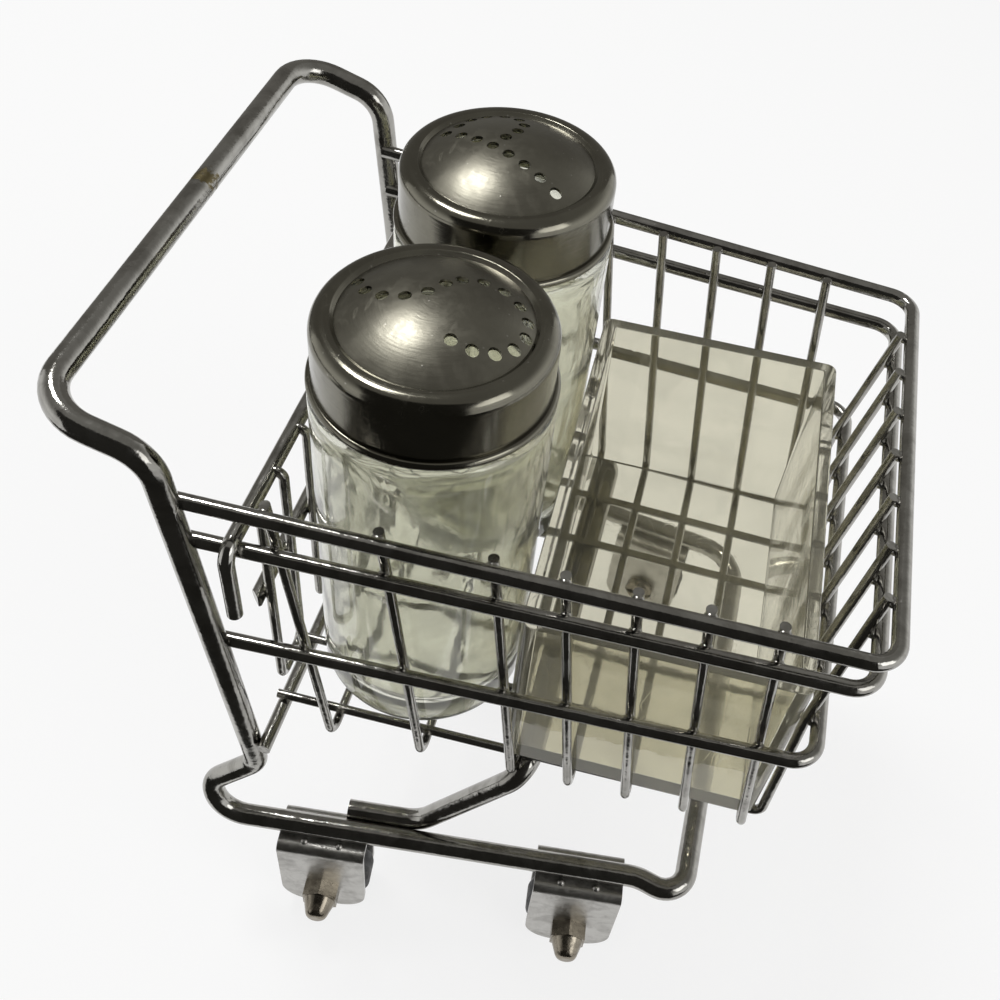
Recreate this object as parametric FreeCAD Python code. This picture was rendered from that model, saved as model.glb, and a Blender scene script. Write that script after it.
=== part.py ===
import FreeCAD, Part
import math
import os
from FreeCAD import Vector

# Table-top condiment cart: a chrome wire basket on wheels that carries two
# glass shakers and a clear packet holder.
# Frame: +X runs from the handle to the front of the basket, +Y to the far
# side, +Z up. The origin is on the table, under the middle of the overall box.
# The "near" side is -Y. All sizes are in millimetres.

os.makedirs("parts", exist_ok=True)

# ---------------------------------------------------------------- wire stock
FRAME_WIRE = 5.0          # handle, legs, bottom rails and floor support
RIM_WIRE = 3.0            # basket rims, rear floor bar and gate bars
MESH_WIRE = 2.0           # side, floor, front and gate wires

# ------------------------------------------------------------------- wheels
WHEEL_RADIUS = 10.8
WHEEL_WIDTH = 7.0
HUB_RADIUS = 5.2
TREAD_THICKNESS = 3.0
TREAD_ROUND = 1.2
WHEEL_DISH_DEPTH = 1.6    # hollow in each face between tread and hub
WHEEL_SIDE_GAP = 0.3      # hub face to bracket ear
WHEEL_RUNNING_FIT = 0.08  # radial, wheel bore on the axle bolt
WHEELBASE_REAR = -27.4    # X of the rear wheels
WHEELBASE_FRONT = 32.2    # X of the front wheels

# --------------------------------------------------- brackets and axle bolts
BRACKET_SHEET = 1.2
BRACKET_LENGTH = 20.4
BRACKET_WIDTH = 11.4      # over both ears
BRACKET_FOLD_RADIUS = 2.0
EAR_DROP = 9.6            # axle centre to the foot of the ears
EAR_CORNER_RADIUS = 7.0
AXLE_DROP = 21.2          # rail centre to axle centre
AXLE_DIAMETER = 5.0
BOLT_HEAD_DIAMETER = 8.0
BOLT_HEAD_HEIGHT = 2.6
NUT_ACROSS_FLATS = 8.0
NUT_HEX_HEIGHT = 3.6
NUT_DOME_HEIGHT = 4.4
NUT_TIP_RADIUS = 2.2      # where the cone of the dome would end
NUT_TIP_ROUND = 1.7
BOLT_HEAD_ROUND = 1.43
BOLT_SLOT_WIDTH = 1.2
BOLT_SLOT_DEPTH = 1.1
NUT_DOME_INSET = 0.2      # dome's foot inside the flats
BOLT_HOLE_FIT = 0.05      # radial, bolt in the bracket ears
WELD_NUGGET_RADIUS = 0.9
WELD_NUGGET_SPACING = 8.2
WELD_NUGGET_INSET = 0.6   # nugget centre inside the fold
WELD_NUGGET_SINK = 0.2

# -------------------------------------------------------------------- frame
OVERALL_LENGTH = 147.4
HANDLE_HEIGHT = 154.3     # centre of the handle bar
HANDLE_HALF_WIDTH = 57.0  # centre line of the handle and the legs
HANDLE_CORNER_RADIUS = 9.0
LEG_TOP_X = -52.3
LEG_TOP_Z = 148.7
LEG_TOP_RADIUS = 8.0
LEG_FOOT_X = -42.9
LEG_FOOT_Z = 51.5
LEG_FOOT_RADIUS = 5.0
LOOP_REAR_X = -52.8       # rear of the hairpin under each leg
LOOP_HEIGHT = 9.8         # from the rail up to the loop's top bend
LOOP_RADIUS = 5.2
LOOP_FOOT_RADIUS = 7.8
LOOP_TILT = 0.8           # the loop's top bend stands this far behind its foot
LOOP_SPREAD = 5.4         # the rails start this far outside the legs
RAIL_FRONT_HALF_WIDTH = 50.2
RAIL_FRONT_X = 45.1       # start of the front corners
FRONT_BAR_X = 55.9
FLARE_WIDTH = 2.7         # the near corner swings out by this before it turns
FLARE_RADIUS = 12.0
NEAR_CORNER_RADIUS = 5.4
FAR_CORNER_RADIUS = 12.0

# ------------------------------------------------------------- basket rims
RIM_LEG_OFFSET = 1.8       # rim centre inside the leg's centre, at the legs
RIM_FRONT_HALF_WIDTH = 48.6
RIM_CORNER_RADIUS = 5.2
TOP_RIM_REAR_Z = 136.9
TOP_RIM_FRONT_Z = 132.3
MIDDLE_RIM_REAR_Z = 126.7
MIDDLE_RIM_FRONT_Z = 124.0
LOWER_RIM_REAR_Z = 96.2
LOWER_RIM_FRONT_Z = 97.0
FRONT_LEAN = 0.115        # forward lean of the basket front, per mm of height
TIP_SINK = 0.6            # wire tips below the top of the top rim

# ------------------------------------------------------- floor and its mesh
FLOOR_TOP_Z = 65.3        # top of the lengthways floor wires
SIDE_WIRE_LEAN = 0.115    # side wires lean back going up, per mm of height
FIRST_CROSS_WIRE_X = -27.2
WIDE_PITCH = 19.8         # between the cross wires under the shakers
LAST_CROSS_SETBACK = 3.5  # last cross wire behind the turn of the lengthways wires
WIDE_STEPS = 2
CROSS_WIRE_COUNT = 7
CROSS_BEND_RADIUS = 3.5
LONG_WIRE_COUNT = 7
LONG_EDGE_REAR = 12.5     # rear bar's end to the outermost lengthways wire
LONG_EDGE_FRONT = 5.4     # rim centre to the outermost lengthways wire, at the front bend
LONG_EDGE_TOP = 13.5      # rim centre to the outermost front wire, at the top rim
LONG_FOOT_SETBACK = 0.54  # where they turn up to the front, behind the lower rim's wire seat
LONG_BEND_RADIUS = 2.0
LONG_SWEEP_RADIUS = 12.0  # slight change of lean at the lower rim
REAR_BAR_OVERHANG = 2.0   # past the centre of each leg

# ---------------------------------------------------- support under the floor
SUPPORT_START_X = -23.4
SUPPORT_RISE_X = -6.9
SUPPORT_CROSS_X = 15.6
SUPPORT_CROSS_INSET = 6.38  # its cross run turns this far inside the rails
SUPPORT_RISE_RADIUS = 8.0
SUPPORT_TURN_RADIUS = 7.0

# --------------------------------------------------------------------- gate
GATE_X = -40.9
GATE_SEAT_GAP = 0.15      # hinge bar above the middle rim
GATE_END_GAP = 1.0        # bent end to the outside of the rims
GATE_END_DROP = 17.5
GATE_BEND_RADIUS = 3.2
GATE_BOTTOM_Z = 77.0
GATE_BAR_Z = 105.5        # middle bar
GATE_BAR_INSET = 3.65     # rim centre to the middle bar's end
HAIRPIN_COUNT = 5
HAIRPIN_WIDTH = 10.5
HAIRPIN_EDGE = 7.25       # middle bar's end to the centre of the outermost hairpin
HAIRPIN_RADIUS = 2.4
HAIRPIN_TOP_RADIUS = 1.6
HAIRPIN_TOP_RISE = 0.3    # its ends above the hinge bar's centre line
HAIRPIN_TOP_REACH = 0.2   # its ends' middles in front of the hinge bar's centre line

# ----------------------------------------------------------------- shakers
SHAKER_X = -14.9
SHAKER_HALF_SPACING = 24.0
REST_GAP = 0.25           # loose pieces above the floor wires
JAR_RADIUS = 22.2
JAR_WALL = 2.6
JAR_BASE = 5.0
JAR_HEEL_RADIUS = 2.5
JAR_SHOULDER_RADIUS = 2.0
JAR_SHOULDER_Z = 147.3
NECK_RADIUS = 19.6
NECK_LENGTH = 13.5
LIP_RADIUS = 1.0
NECK_FOOT_RADIUS = 0.4
MOUTH_FOOT_RADIUS = 1.0
THREAD_RADIUS = 0.7
THREAD_START = 4.7        # first turn above the shoulder
THREAD_PITCH = 4.7
THREAD_TURNS = 2
THREAD_CLEARANCE = 0.3    # thread crest to the inside of the cap
CAP_SHEET = 0.7
CAP_SKIRT_GAP = 0.7       # cap hem above the jar's shoulder
CAP_HEM_RADIUS = 0.85
CAP_SHOULDER_RADIUS = 2.8
CAP_SEAT_GAP = 0.05       # under the cap's inner face, above the lip
CAP_RING_WIDTH = 3.6      # flat ring between shoulder and groove
CAP_GROOVE_WIDTH = 0.8
CAP_GROOVE_DEPTH = 0.6
CAP_GROOVE_ROUND = 0.3
DOME_HEIGHT = 4.7
POUR_HOLE_DIAMETER = 2.3
LETTER_ANGLE = 155.0      # direction in which the pour pattern's top points
S_ARC_RADIUS = 8.2
S_OFFSET_Y = 3.5
P_STEM_LENGTH = 27.4
P_STEM_HOLES = 8
P_STEM_OFFSET = 2.9
P_BAR_STEP = 3.9          # stem to the hole beside it in the bars
P_BOWL_OFFSET = 7.6       # stem to the centre of the bowl

# ------------------------------------------------------------ packet holder
HOLDER_TURN = 1.3         # degrees; it stands a little askew in the basket
HOLDER_OFFSET_Y = -0.9
HOLDER_SHAKER_GAP = 0.4   # to the cap hem that comes nearest
HOLDER_FRONT_GAP = 0.7    # to the upright part of the front wire that comes nearest
HOLDER_SIDE_GAP = 0.44    # to the side wires that come nearest
HOLDER_HEIGHT = 47.8
HOLDER_WALL = 2.8
HOLDER_CORNER_RADIUS = 2.2

# ------------------------------------------------------------ derived places
frame_r = FRAME_WIRE / 2
rim_r = RIM_WIRE / 2
mesh_r = MESH_WIRE / 2
handle_x = -OVERALL_LENGTH / 2 + frame_r
rim_front_x = OVERALL_LENGTH / 2 - rim_r
rail_z = WHEEL_RADIUS + AXLE_DROP
long_z = FLOOR_TOP_Z - mesh_r
cross_z = long_z - MESH_WIRE
rear_bar_z = cross_z + mesh_r - rim_r
support_z = long_z - mesh_r - frame_r
rest_z = FLOOR_TOP_Z + REST_GAP
leg_lean = (LEG_FOOT_X - LEG_TOP_X) / (LEG_TOP_Z - LEG_FOOT_Z)
rim_rear_x = LEG_TOP_X + leg_lean * (LEG_TOP_Z - TOP_RIM_REAR_Z)
rim_rear_half_width = HANDLE_HALF_WIDTH - RIM_LEG_OFFSET
rail_rear_half_width = HANDLE_HALF_WIDTH + LOOP_SPREAD
rear_bar_half_length = HANDLE_HALF_WIDTH + REAR_BAR_OVERHANG
rail_slope = (RAIL_FRONT_HALF_WIDTH - rail_rear_half_width) / (RAIL_FRONT_X - LOOP_REAR_X)
wire_seat = rim_r + mesh_r
long_span_rear = rear_bar_half_length - LONG_EDGE_REAR
long_span_front = RIM_FRONT_HALF_WIDTH - LONG_EDGE_FRONT
long_span_top = RIM_FRONT_HALF_WIDTH - LONG_EDGE_TOP


def leg_x(z):
    """X of the leg's centre line at height z."""
    return LEG_TOP_X + leg_lean * (LEG_TOP_Z - z)


def rail_half_width(x):
    """Half width between the rails' centre lines at x."""
    return rail_rear_half_width + rail_slope * (x - LOOP_REAR_X)


def rim_half_width(x):
    """Half width between the rims' centre lines at x: the basket tapers forward."""
    share = (x - rim_rear_x) / (rim_front_x - rim_rear_x)
    return rim_rear_half_width + (RIM_FRONT_HALF_WIDTH - rim_rear_half_width) * share


def along_rim(rear_z, front_z, x):
    """Height of a sloping rim at x."""
    return rear_z + (front_z - rear_z) * (x - rim_rear_x) / (rim_front_x - rim_rear_x)


def front_x(z):
    """X of a rim's front bar at height z: the basket front leans forward."""
    return rim_front_x - FRONT_LEAN * (TOP_RIM_FRONT_Z - z)


long_foot_x = front_x(LOWER_RIM_FRONT_Z) - wire_seat - LONG_FOOT_SETBACK
gate_bar_half_length = rim_half_width(GATE_X) - GATE_BAR_INSET
hairpin_span = gate_bar_half_length - HAIRPIN_EDGE
support_half_width = rail_half_width(SUPPORT_CROSS_X) - SUPPORT_CROSS_INSET


def export(name, shape):
    """Write one named piece."""
    shape.exportStep(os.path.join("parts", name + ".step"))


def rounded_path(points, radii):
    """Edges through the points, with an arc of the given radius at each inner point."""
    edges = []
    start = points[0]
    for before, corner, after, radius in zip(points, points[1:], points[2:], radii):
        back = (before - corner).normalize()
        ahead = (after - corner).normalize()
        half_angle = back.getAngle(ahead) / 2
        reach = radius / math.tan(half_angle)
        bisector = (back + ahead).normalize()
        arc_in = corner + back * reach
        arc_out = corner + ahead * reach
        arc_mid = corner + bisector * (radius / math.sin(half_angle) - radius)
        edges.append(Part.makeLine(start, arc_in))
        edges.append(Part.Arc(arc_in, arc_mid, arc_out).toShape())
        start = arc_out
    edges.append(Part.makeLine(start, points[-1]))
    return edges


def rod(points, radii, diameter):
    """A bent round wire along the points."""
    edges = rounded_path(points, radii)
    direction = (points[1] - points[0]).normalize()
    section = Part.Wire([Part.makeCircle(diameter / 2, points[0], direction)])
    return Part.Wire(edges).makePipeShell([section], True, False)


def mirrored(points):
    """The same points on the other side of the cart."""
    return [Vector(p.x, -p.y, p.z) for p in points]


def revolved(edges):
    """Solid of revolution about Z from a closed outline in the XZ plane."""
    face = Part.Face(Part.Wire(edges))
    return face.revolve(Vector(0, 0, 0), Vector(0, 0, 1), 360)


def single(shape):
    """The shape as one clean solid."""
    return shape.removeSplitter().Solids[0]


# ------------------------------------------------------------------- frame
def frame_half(front_points, front_radii):
    """One side of the frame: half of the handle, leg, loop, rail, half of the front bar."""
    side = -HANDLE_HALF_WIDTH
    loop_half_width = (HANDLE_HALF_WIDTH + rail_rear_half_width) / 2
    points = [
        Vector(handle_x, 0, HANDLE_HEIGHT),
        Vector(handle_x, side, HANDLE_HEIGHT),
        Vector(LEG_TOP_X, side, LEG_TOP_Z),
        Vector(LEG_FOOT_X, side, LEG_FOOT_Z),
        Vector(LOOP_REAR_X - LOOP_TILT, -loop_half_width, rail_z + LOOP_HEIGHT),
        Vector(LOOP_REAR_X, -rail_rear_half_width, rail_z),
    ]
    radii = [HANDLE_CORNER_RADIUS, LEG_TOP_RADIUS, LEG_FOOT_RADIUS, LOOP_RADIUS, LOOP_FOOT_RADIUS]
    points += front_points
    points.append(Vector(FRONT_BAR_X, 0, rail_z))
    return points, radii + front_radii


def frame_wire():
    """The closed frame wire; its near front corner flares a little before it turns."""
    flare_start = Vector(RAIL_FRONT_X, -RAIL_FRONT_HALF_WIDTH, rail_z)
    near_corner = Vector(FRONT_BAR_X, -RAIL_FRONT_HALF_WIDTH - FLARE_WIDTH, rail_z)
    far_corner = Vector(FRONT_BAR_X, -rail_half_width(FRONT_BAR_X), rail_z)
    near_points, near_radii = frame_half(
        [flare_start, near_corner], [FLARE_RADIUS, NEAR_CORNER_RADIUS])
    far_points, far_radii = frame_half([far_corner], [FAR_CORNER_RADIUS])
    near = rod(near_points, near_radii, FRAME_WIRE)
    far = rod(mirrored(far_points), far_radii, FRAME_WIRE)
    return single(near.fuse(far))


def support_wire():
    """Wire along the inner side of both rails that rises and crosses under the floor."""
    inset = FRAME_WIRE * math.sqrt(1 + rail_slope ** 2)
    start = Vector(SUPPORT_START_X, inset - rail_half_width(SUPPORT_START_X), rail_z)
    rise = Vector(SUPPORT_RISE_X, inset - rail_half_width(SUPPORT_RISE_X), rail_z)
    turn = Vector(SUPPORT_CROSS_X, -support_half_width, support_z)
    near = [start, rise, turn]
    points = near + list(reversed(mirrored(near)))
    radii = [SUPPORT_RISE_RADIUS, SUPPORT_TURN_RADIUS, SUPPORT_TURN_RADIUS, SUPPORT_RISE_RADIUS]
    return rod(points, radii, FRAME_WIRE)


# --------------------------------------------------------------- basket rims
def rim(rear_z, front_z, frame):
    """A U-shaped rim whose ends are coped to the front of the legs."""
    rear_x = leg_x(rear_z)
    x = front_x(front_z)
    points = [
        Vector(rear_x, -rim_half_width(rear_x), rear_z),
        Vector(x, -rim_half_width(x), front_z),
        Vector(x, rim_half_width(x), front_z),
        Vector(rear_x, rim_half_width(rear_x), rear_z),
    ]
    bar = rod(points, [RIM_CORNER_RADIUS, RIM_CORNER_RADIUS], RIM_WIRE).cut(frame)
    return max(bar.Solids, key=lambda piece: piece.Volume)


def rear_floor_bar():
    """Straight bar across the fronts of the legs, under the floor wires."""
    x = leg_x(rear_bar_z) + (frame_r + rim_r) * math.sqrt(1 + leg_lean ** 2)
    start = Vector(x, -rear_bar_half_length, rear_bar_z)
    return Part.makeCylinder(rim_r, 2 * rear_bar_half_length, start, Vector(0, 1, 0)), x


# ------------------------------------------------------------- basket wires
def cross_wire_xs():
    """X of each cross wire at the floor: wide apart at the rear, close under the holder."""
    xs = [FIRST_CROSS_WIRE_X + WIDE_PITCH * step for step in range(WIDE_STEPS + 1)]
    narrow_steps = CROSS_WIRE_COUNT - 1 - WIDE_STEPS
    narrow_pitch = (long_foot_x - LAST_CROSS_SETBACK - xs[-1]) / narrow_steps
    return xs + [xs[-1] + narrow_pitch * (step + 1) for step in range(narrow_steps)]


def cross_wire(floor_x):
    """Up one side, across the floor and up the other side, inside the rims."""
    rise = TOP_RIM_REAR_Z - cross_z
    top_x = floor_x - SIDE_WIRE_LEAN * rise
    top_z = along_rim(TOP_RIM_REAR_Z, TOP_RIM_FRONT_Z, top_x) + rim_r - TIP_SINK
    near = [
        Vector(top_x, wire_seat - rim_half_width(top_x), top_z),
        Vector(floor_x, wire_seat - rim_half_width(floor_x), cross_z),
    ]
    points = near + list(reversed(mirrored(near)))
    return rod(points, [CROSS_BEND_RADIUS, CROSS_BEND_RADIUS], MESH_WIRE)


def long_wire(share, rear_x):
    """From the rear bar along the floor and up the front; share is -1 to 1 across."""
    tip_z = TOP_RIM_FRONT_Z + rim_r - TIP_SINK
    rise = (LOWER_RIM_FRONT_Z - long_z) / (tip_z - long_z)
    span_at_rim = long_span_front + (long_span_top - long_span_front) * rise
    points = [
        Vector(rear_x - rim_r, share * long_span_rear, long_z),
        Vector(long_foot_x, share * long_span_front, long_z),
        Vector(front_x(LOWER_RIM_FRONT_Z) - wire_seat, share * span_at_rim, LOWER_RIM_FRONT_Z),
        Vector(front_x(tip_z) - wire_seat, share * long_span_top, tip_z),
    ]
    return rod(points, [LONG_BEND_RADIUS, LONG_SWEEP_RADIUS], MESH_WIRE)


# ---------------------------------------------------------------- wheel sets
def rail_frame(x, side):
    """Placement at a wheel set: local X along the rail, local Y outward, Z up."""
    along = Vector(1, side * rail_slope, 0).normalize()
    outward = Vector(-along.y, along.x, 0) * side
    base = Vector(x, side * rail_half_width(x), rail_z)
    rotation = FreeCAD.Rotation(along * side, outward, Vector(0, 0, 1), "ZXY")
    return FreeCAD.Placement(base, rotation)


def placed(shape, placement):
    """A copy of the shape moved to the placement."""
    copy = shape.copy()
    copy.Placement = placement.multiply(copy.Placement)
    return copy


def bracket():
    """Folded channel under the rail with two round-cornered ears, drilled for the axle."""
    half = BRACKET_WIDTH / 2
    top = -frame_r
    bottom = -AXLE_DROP - EAR_DROP
    depth = top - bottom
    body = Part.makeBox(BRACKET_LENGTH, BRACKET_WIDTH, depth,
                        Vector(-BRACKET_LENGTH / 2, -half, bottom))
    folds = [e for e in body.Edges
             if abs(e.CenterOfMass.z - top) < 1e-6 and abs(abs(e.CenterOfMass.y) - half) < 1e-6]
    body = body.makeFillet(BRACKET_FOLD_RADIUS, folds)
    feet = [e for e in body.Edges
            if abs(e.CenterOfMass.z - bottom) < 1e-6 and abs(e.CenterOfMass.y) < 1e-6]
    body = body.makeFillet(EAR_CORNER_RADIUS, feet)
    inner_half = half - BRACKET_SHEET
    inner = Part.makeBox(BRACKET_LENGTH * 2, inner_half * 2, depth * 2,
                         Vector(-BRACKET_LENGTH, -inner_half, top - BRACKET_SHEET - depth * 2))
    inner_folds = [e for e in inner.Edges
                   if abs(e.CenterOfMass.z - top + BRACKET_SHEET) < 1e-6
                   and abs(abs(e.CenterOfMass.y) - inner_half) < 1e-6]
    inner = inner.makeFillet(BRACKET_FOLD_RADIUS - BRACKET_SHEET, inner_folds)
    shell = body.cut(inner)
    hole = Part.makeCylinder(AXLE_DIAMETER / 2 + BOLT_HOLE_FIT, BRACKET_WIDTH * 2,
                             Vector(0, -BRACKET_WIDTH, -AXLE_DROP), Vector(0, 1, 0))
    shell = shell.cut(hole)
    for nugget_x in (-WELD_NUGGET_SPACING / 2, WELD_NUGGET_SPACING / 2):
        nugget_y = half - BRACKET_FOLD_RADIUS - WELD_NUGGET_INSET
        nugget = Part.makeSphere(WELD_NUGGET_RADIUS, Vector(nugget_x, nugget_y, top - WELD_NUGGET_SINK))
        shell = shell.fuse(nugget)
    return single(shell)


def axle_bolt():
    """Pan-head bolt through both ears, its head on the inner side."""
    half = BRACKET_WIDTH / 2
    axis = Vector(0, 1, 0)
    centre = Vector(0, -half, -AXLE_DROP)
    shank = Part.makeCylinder(AXLE_DIAMETER / 2, BRACKET_WIDTH + NUT_HEX_HEIGHT, centre, axis)
    head = Part.makeCylinder(BOLT_HEAD_DIAMETER / 2, BOLT_HEAD_HEIGHT,
                             centre - axis * BOLT_HEAD_HEIGHT, axis)
    rim_edge = [e for e in head.Edges if abs(e.CenterOfMass.y + half + BOLT_HEAD_HEIGHT) < 1e-6]
    head = head.makeFillet(BOLT_HEAD_ROUND, rim_edge)
    slot = Part.makeBox(BOLT_HEAD_DIAMETER * 2, BOLT_SLOT_DEPTH, BOLT_SLOT_WIDTH,
                        Vector(-BOLT_HEAD_DIAMETER, -half - BOLT_HEAD_HEIGHT,
                               -AXLE_DROP - BOLT_SLOT_WIDTH / 2))
    return single(shank.fuse(head).cut(slot))


def acorn_nut():
    """Domed hexagon nut on the outer end of the axle bolt."""
    half = BRACKET_WIDTH / 2
    corner = NUT_ACROSS_FLATS / math.sqrt(3)
    points = [Vector(corner * math.cos(math.radians(60 * i + 30)), half,
                     corner * math.sin(math.radians(60 * i + 30)) - AXLE_DROP) for i in range(7)]
    hexagon = Part.Face(Part.makePolygon(points)).extrude(Vector(0, NUT_HEX_HEIGHT, 0))
    dome_base = NUT_ACROSS_FLATS / 2 - NUT_DOME_INSET
    dome_start = half + NUT_HEX_HEIGHT
    dome_end = dome_start + NUT_DOME_HEIGHT
    dome = Part.makeCone(dome_base, NUT_TIP_RADIUS, NUT_DOME_HEIGHT,
                         Vector(0, dome_start, -AXLE_DROP), Vector(0, 1, 0))
    tip_edge = [e for e in dome.Edges if abs(e.CenterOfMass.y - dome_end) < 1e-6]
    dome = dome.makeFillet(NUT_TIP_ROUND, tip_edge)
    bore = Part.makeCylinder(AXLE_DIAMETER / 2, NUT_HEX_HEIGHT, Vector(0, half, -AXLE_DROP),
                             Vector(0, 1, 0))
    return single(hexagon.fuse(dome).cut(bore))


def wheel():
    """Moulded wheel with a hub, a web and a rounded tread."""
    inner_width = BRACKET_WIDTH - 2 * BRACKET_SHEET - 2 * WHEEL_SIDE_GAP
    centre = Vector(0, 0, -AXLE_DROP)
    axis = Vector(0, 1, 0)
    tread = Part.makeCylinder(WHEEL_RADIUS, WHEEL_WIDTH, centre - axis * (WHEEL_WIDTH / 2), axis)
    tread = tread.makeFillet(TREAD_ROUND, [e for e in tread.Edges if e.Length > 6 * WHEEL_RADIUS])
    for side in (-1, 1):
        middle = side * (WHEEL_WIDTH - WHEEL_DISH_DEPTH) / 2
        dish = Part.makeCylinder(WHEEL_RADIUS - TREAD_THICKNESS, WHEEL_DISH_DEPTH,
                                 centre + axis * (middle - WHEEL_DISH_DEPTH / 2), axis)
        tread = tread.cut(dish)
    hub = Part.makeCylinder(HUB_RADIUS, inner_width, centre - axis * (inner_width / 2), axis)
    bore = Part.makeCylinder(AXLE_DIAMETER / 2 + WHEEL_RUNNING_FIT, inner_width * 2,
                             centre - axis * inner_width, axis)
    return single(tread.fuse(hub).cut(bore))


# --------------------------------------------------------------------- gate
gate_bar_z = along_rim(MIDDLE_RIM_REAR_Z, MIDDLE_RIM_FRONT_Z, GATE_X) + RIM_WIRE + GATE_SEAT_GAP


def gate_hinge_bar():
    """Bar lying between the top and middle rims, its ends bent down outside them."""
    half = rim_half_width(GATE_X) + RIM_WIRE + GATE_END_GAP
    points = [
        Vector(GATE_X, -half, gate_bar_z - GATE_END_DROP),
        Vector(GATE_X, -half, gate_bar_z),
        Vector(GATE_X, half, gate_bar_z),
        Vector(GATE_X, half, gate_bar_z - GATE_END_DROP),
    ]
    return rod(points, [GATE_BEND_RADIUS, GATE_BEND_RADIUS], RIM_WIRE)


def gate_middle_bar():
    """Bar across the back of the hairpins with bevelled ends."""
    half = gate_bar_half_length
    bar = Part.makeCylinder(rim_r, 2 * half, Vector(GATE_X, -half, GATE_BAR_Z), Vector(0, 1, 0))
    for side in (-1, 1):
        bevel = Part.makeBox(RIM_WIRE * 3, RIM_WIRE * 2, RIM_WIRE * 3,
                             Vector(-RIM_WIRE * 3 / 2, 0, -RIM_WIRE * 3 / 2))
        bevel.rotate(Vector(0, 0, 0), Vector(0, 0, 1), 45 if side > 0 else 135)
        bevel.translate(Vector(GATE_X + rim_r * 0.2, side * (half - rim_r * 0.2), GATE_BAR_Z))
        bar = bar.cut(bevel)
    return single(bar)


def gate_hairpin(centre_y, hinge_bar):
    """Rectangular wire loop whose ends turn back and are coped to the front of the hinge bar."""
    x = GATE_X + rim_r + mesh_r
    end_x = GATE_X + HAIRPIN_TOP_REACH
    end_z = gate_bar_z + HAIRPIN_TOP_RISE
    ys = (centre_y - HAIRPIN_WIDTH / 2, centre_y + HAIRPIN_WIDTH / 2)
    points = [
        Vector(end_x, ys[0], end_z),
        Vector(x, ys[0], end_z),
        Vector(x, ys[0], GATE_BOTTOM_Z),
        Vector(x, ys[1], GATE_BOTTOM_Z),
        Vector(x, ys[1], end_z),
        Vector(end_x, ys[1], end_z),
    ]
    radii = [HAIRPIN_TOP_RADIUS, HAIRPIN_RADIUS, HAIRPIN_RADIUS, HAIRPIN_TOP_RADIUS]
    return single(rod(points, radii, MESH_WIRE).cut(hinge_bar))


# ------------------------------------------------------------------ shakers
def rounded_profile(points, radii):
    """Closed outline in the XZ plane from (radius, height) points with rounded corners."""
    path = rounded_path([Vector(r, 0, z) for r, z in points], radii)
    path = [e for e in path if e.Length > 1e-6]
    path.append(Part.makeLine(Vector(points[-1][0], 0, points[-1][1]), Vector(points[0][0], 0, points[0][1])))
    return path


lip_z = JAR_SHOULDER_Z + NECK_LENGTH
cap_inner_radius = NECK_RADIUS + THREAD_RADIUS + THREAD_CLEARANCE
cap_radius = cap_inner_radius + CAP_SHEET
cap_hem_z = JAR_SHOULDER_Z + CAP_SKIRT_GAP
cap_top_z = lip_z + CAP_SEAT_GAP + CAP_SHEET + CAP_GROOVE_DEPTH
dome_radius = cap_radius - CAP_RING_WIDTH - CAP_GROOVE_WIDTH


def jar():
    """Thick glass jar with a rounded heel, a threaded neck and an open mouth."""
    outer = revolved(rounded_profile(
        [(0, rest_z), (JAR_RADIUS, rest_z), (JAR_RADIUS, JAR_SHOULDER_Z),
         (NECK_RADIUS, JAR_SHOULDER_Z), (NECK_RADIUS, lip_z), (0, lip_z)],
        [JAR_HEEL_RADIUS, JAR_SHOULDER_RADIUS, NECK_FOOT_RADIUS, LIP_RADIUS]))
    inner_radius = JAR_RADIUS - JAR_WALL
    mouth_radius = NECK_RADIUS - JAR_WALL
    inner = revolved(rounded_profile(
        [(0, rest_z + JAR_BASE), (inner_radius, rest_z + JAR_BASE),
         (inner_radius, JAR_SHOULDER_Z - JAR_WALL), (mouth_radius, JAR_SHOULDER_Z),
         (mouth_radius, lip_z + JAR_WALL), (0, lip_z + JAR_WALL)],
        [JAR_HEEL_RADIUS, JAR_WALL, MOUTH_FOOT_RADIUS, MOUTH_FOOT_RADIUS / 5]))
    shape = outer.cut(inner)
    for turn in range(THREAD_TURNS):
        height = JAR_SHOULDER_Z + THREAD_START + turn * THREAD_PITCH
        shape = shape.fuse(Part.makeTorus(NECK_RADIUS, THREAD_RADIUS, Vector(0, 0, height), Vector(0, 0, 1)))
    return single(shape)


def dome_arc(radius, base_z, height):
    """Edge of the dome from its rim to its top, in the XZ plane."""
    sphere = (radius ** 2 + height ** 2) / (2 * height)
    half = math.asin(radius / sphere) / 2
    middle = Vector(sphere * math.sin(half), 0, base_z + height - sphere + sphere * math.cos(half))
    return Part.Arc(Vector(radius, 0, base_z), middle, Vector(0, 0, base_z + height)).toShape()


def cap_solid(offset, bottom_z):
    """Filled cap body, its skin moved inward by offset."""
    radius = cap_radius - offset
    top = cap_top_z - offset
    groove_outer = dome_radius + CAP_GROOVE_WIDTH + offset
    base_z = cap_top_z - CAP_GROOVE_DEPTH - offset
    path = rounded_path(
        [Vector(radius, 0, bottom_z), Vector(radius, 0, top), Vector(groove_outer, 0, top),
         Vector(dome_radius + offset * 0.5, 0, base_z)],
        [CAP_SHOULDER_RADIUS - offset, CAP_GROOVE_ROUND])
    rim_start = Vector(dome_radius + offset * 0.5, 0, base_z)
    dome = dome_arc(rim_start.x, base_z, DOME_HEIGHT)
    apex = Vector(0, 0, base_z + DOME_HEIGHT)
    path += [dome, Part.makeLine(apex, Vector(0, 0, bottom_z)),
             Part.makeLine(Vector(0, 0, bottom_z), Vector(radius, 0, bottom_z))]
    return revolved(path)


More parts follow.
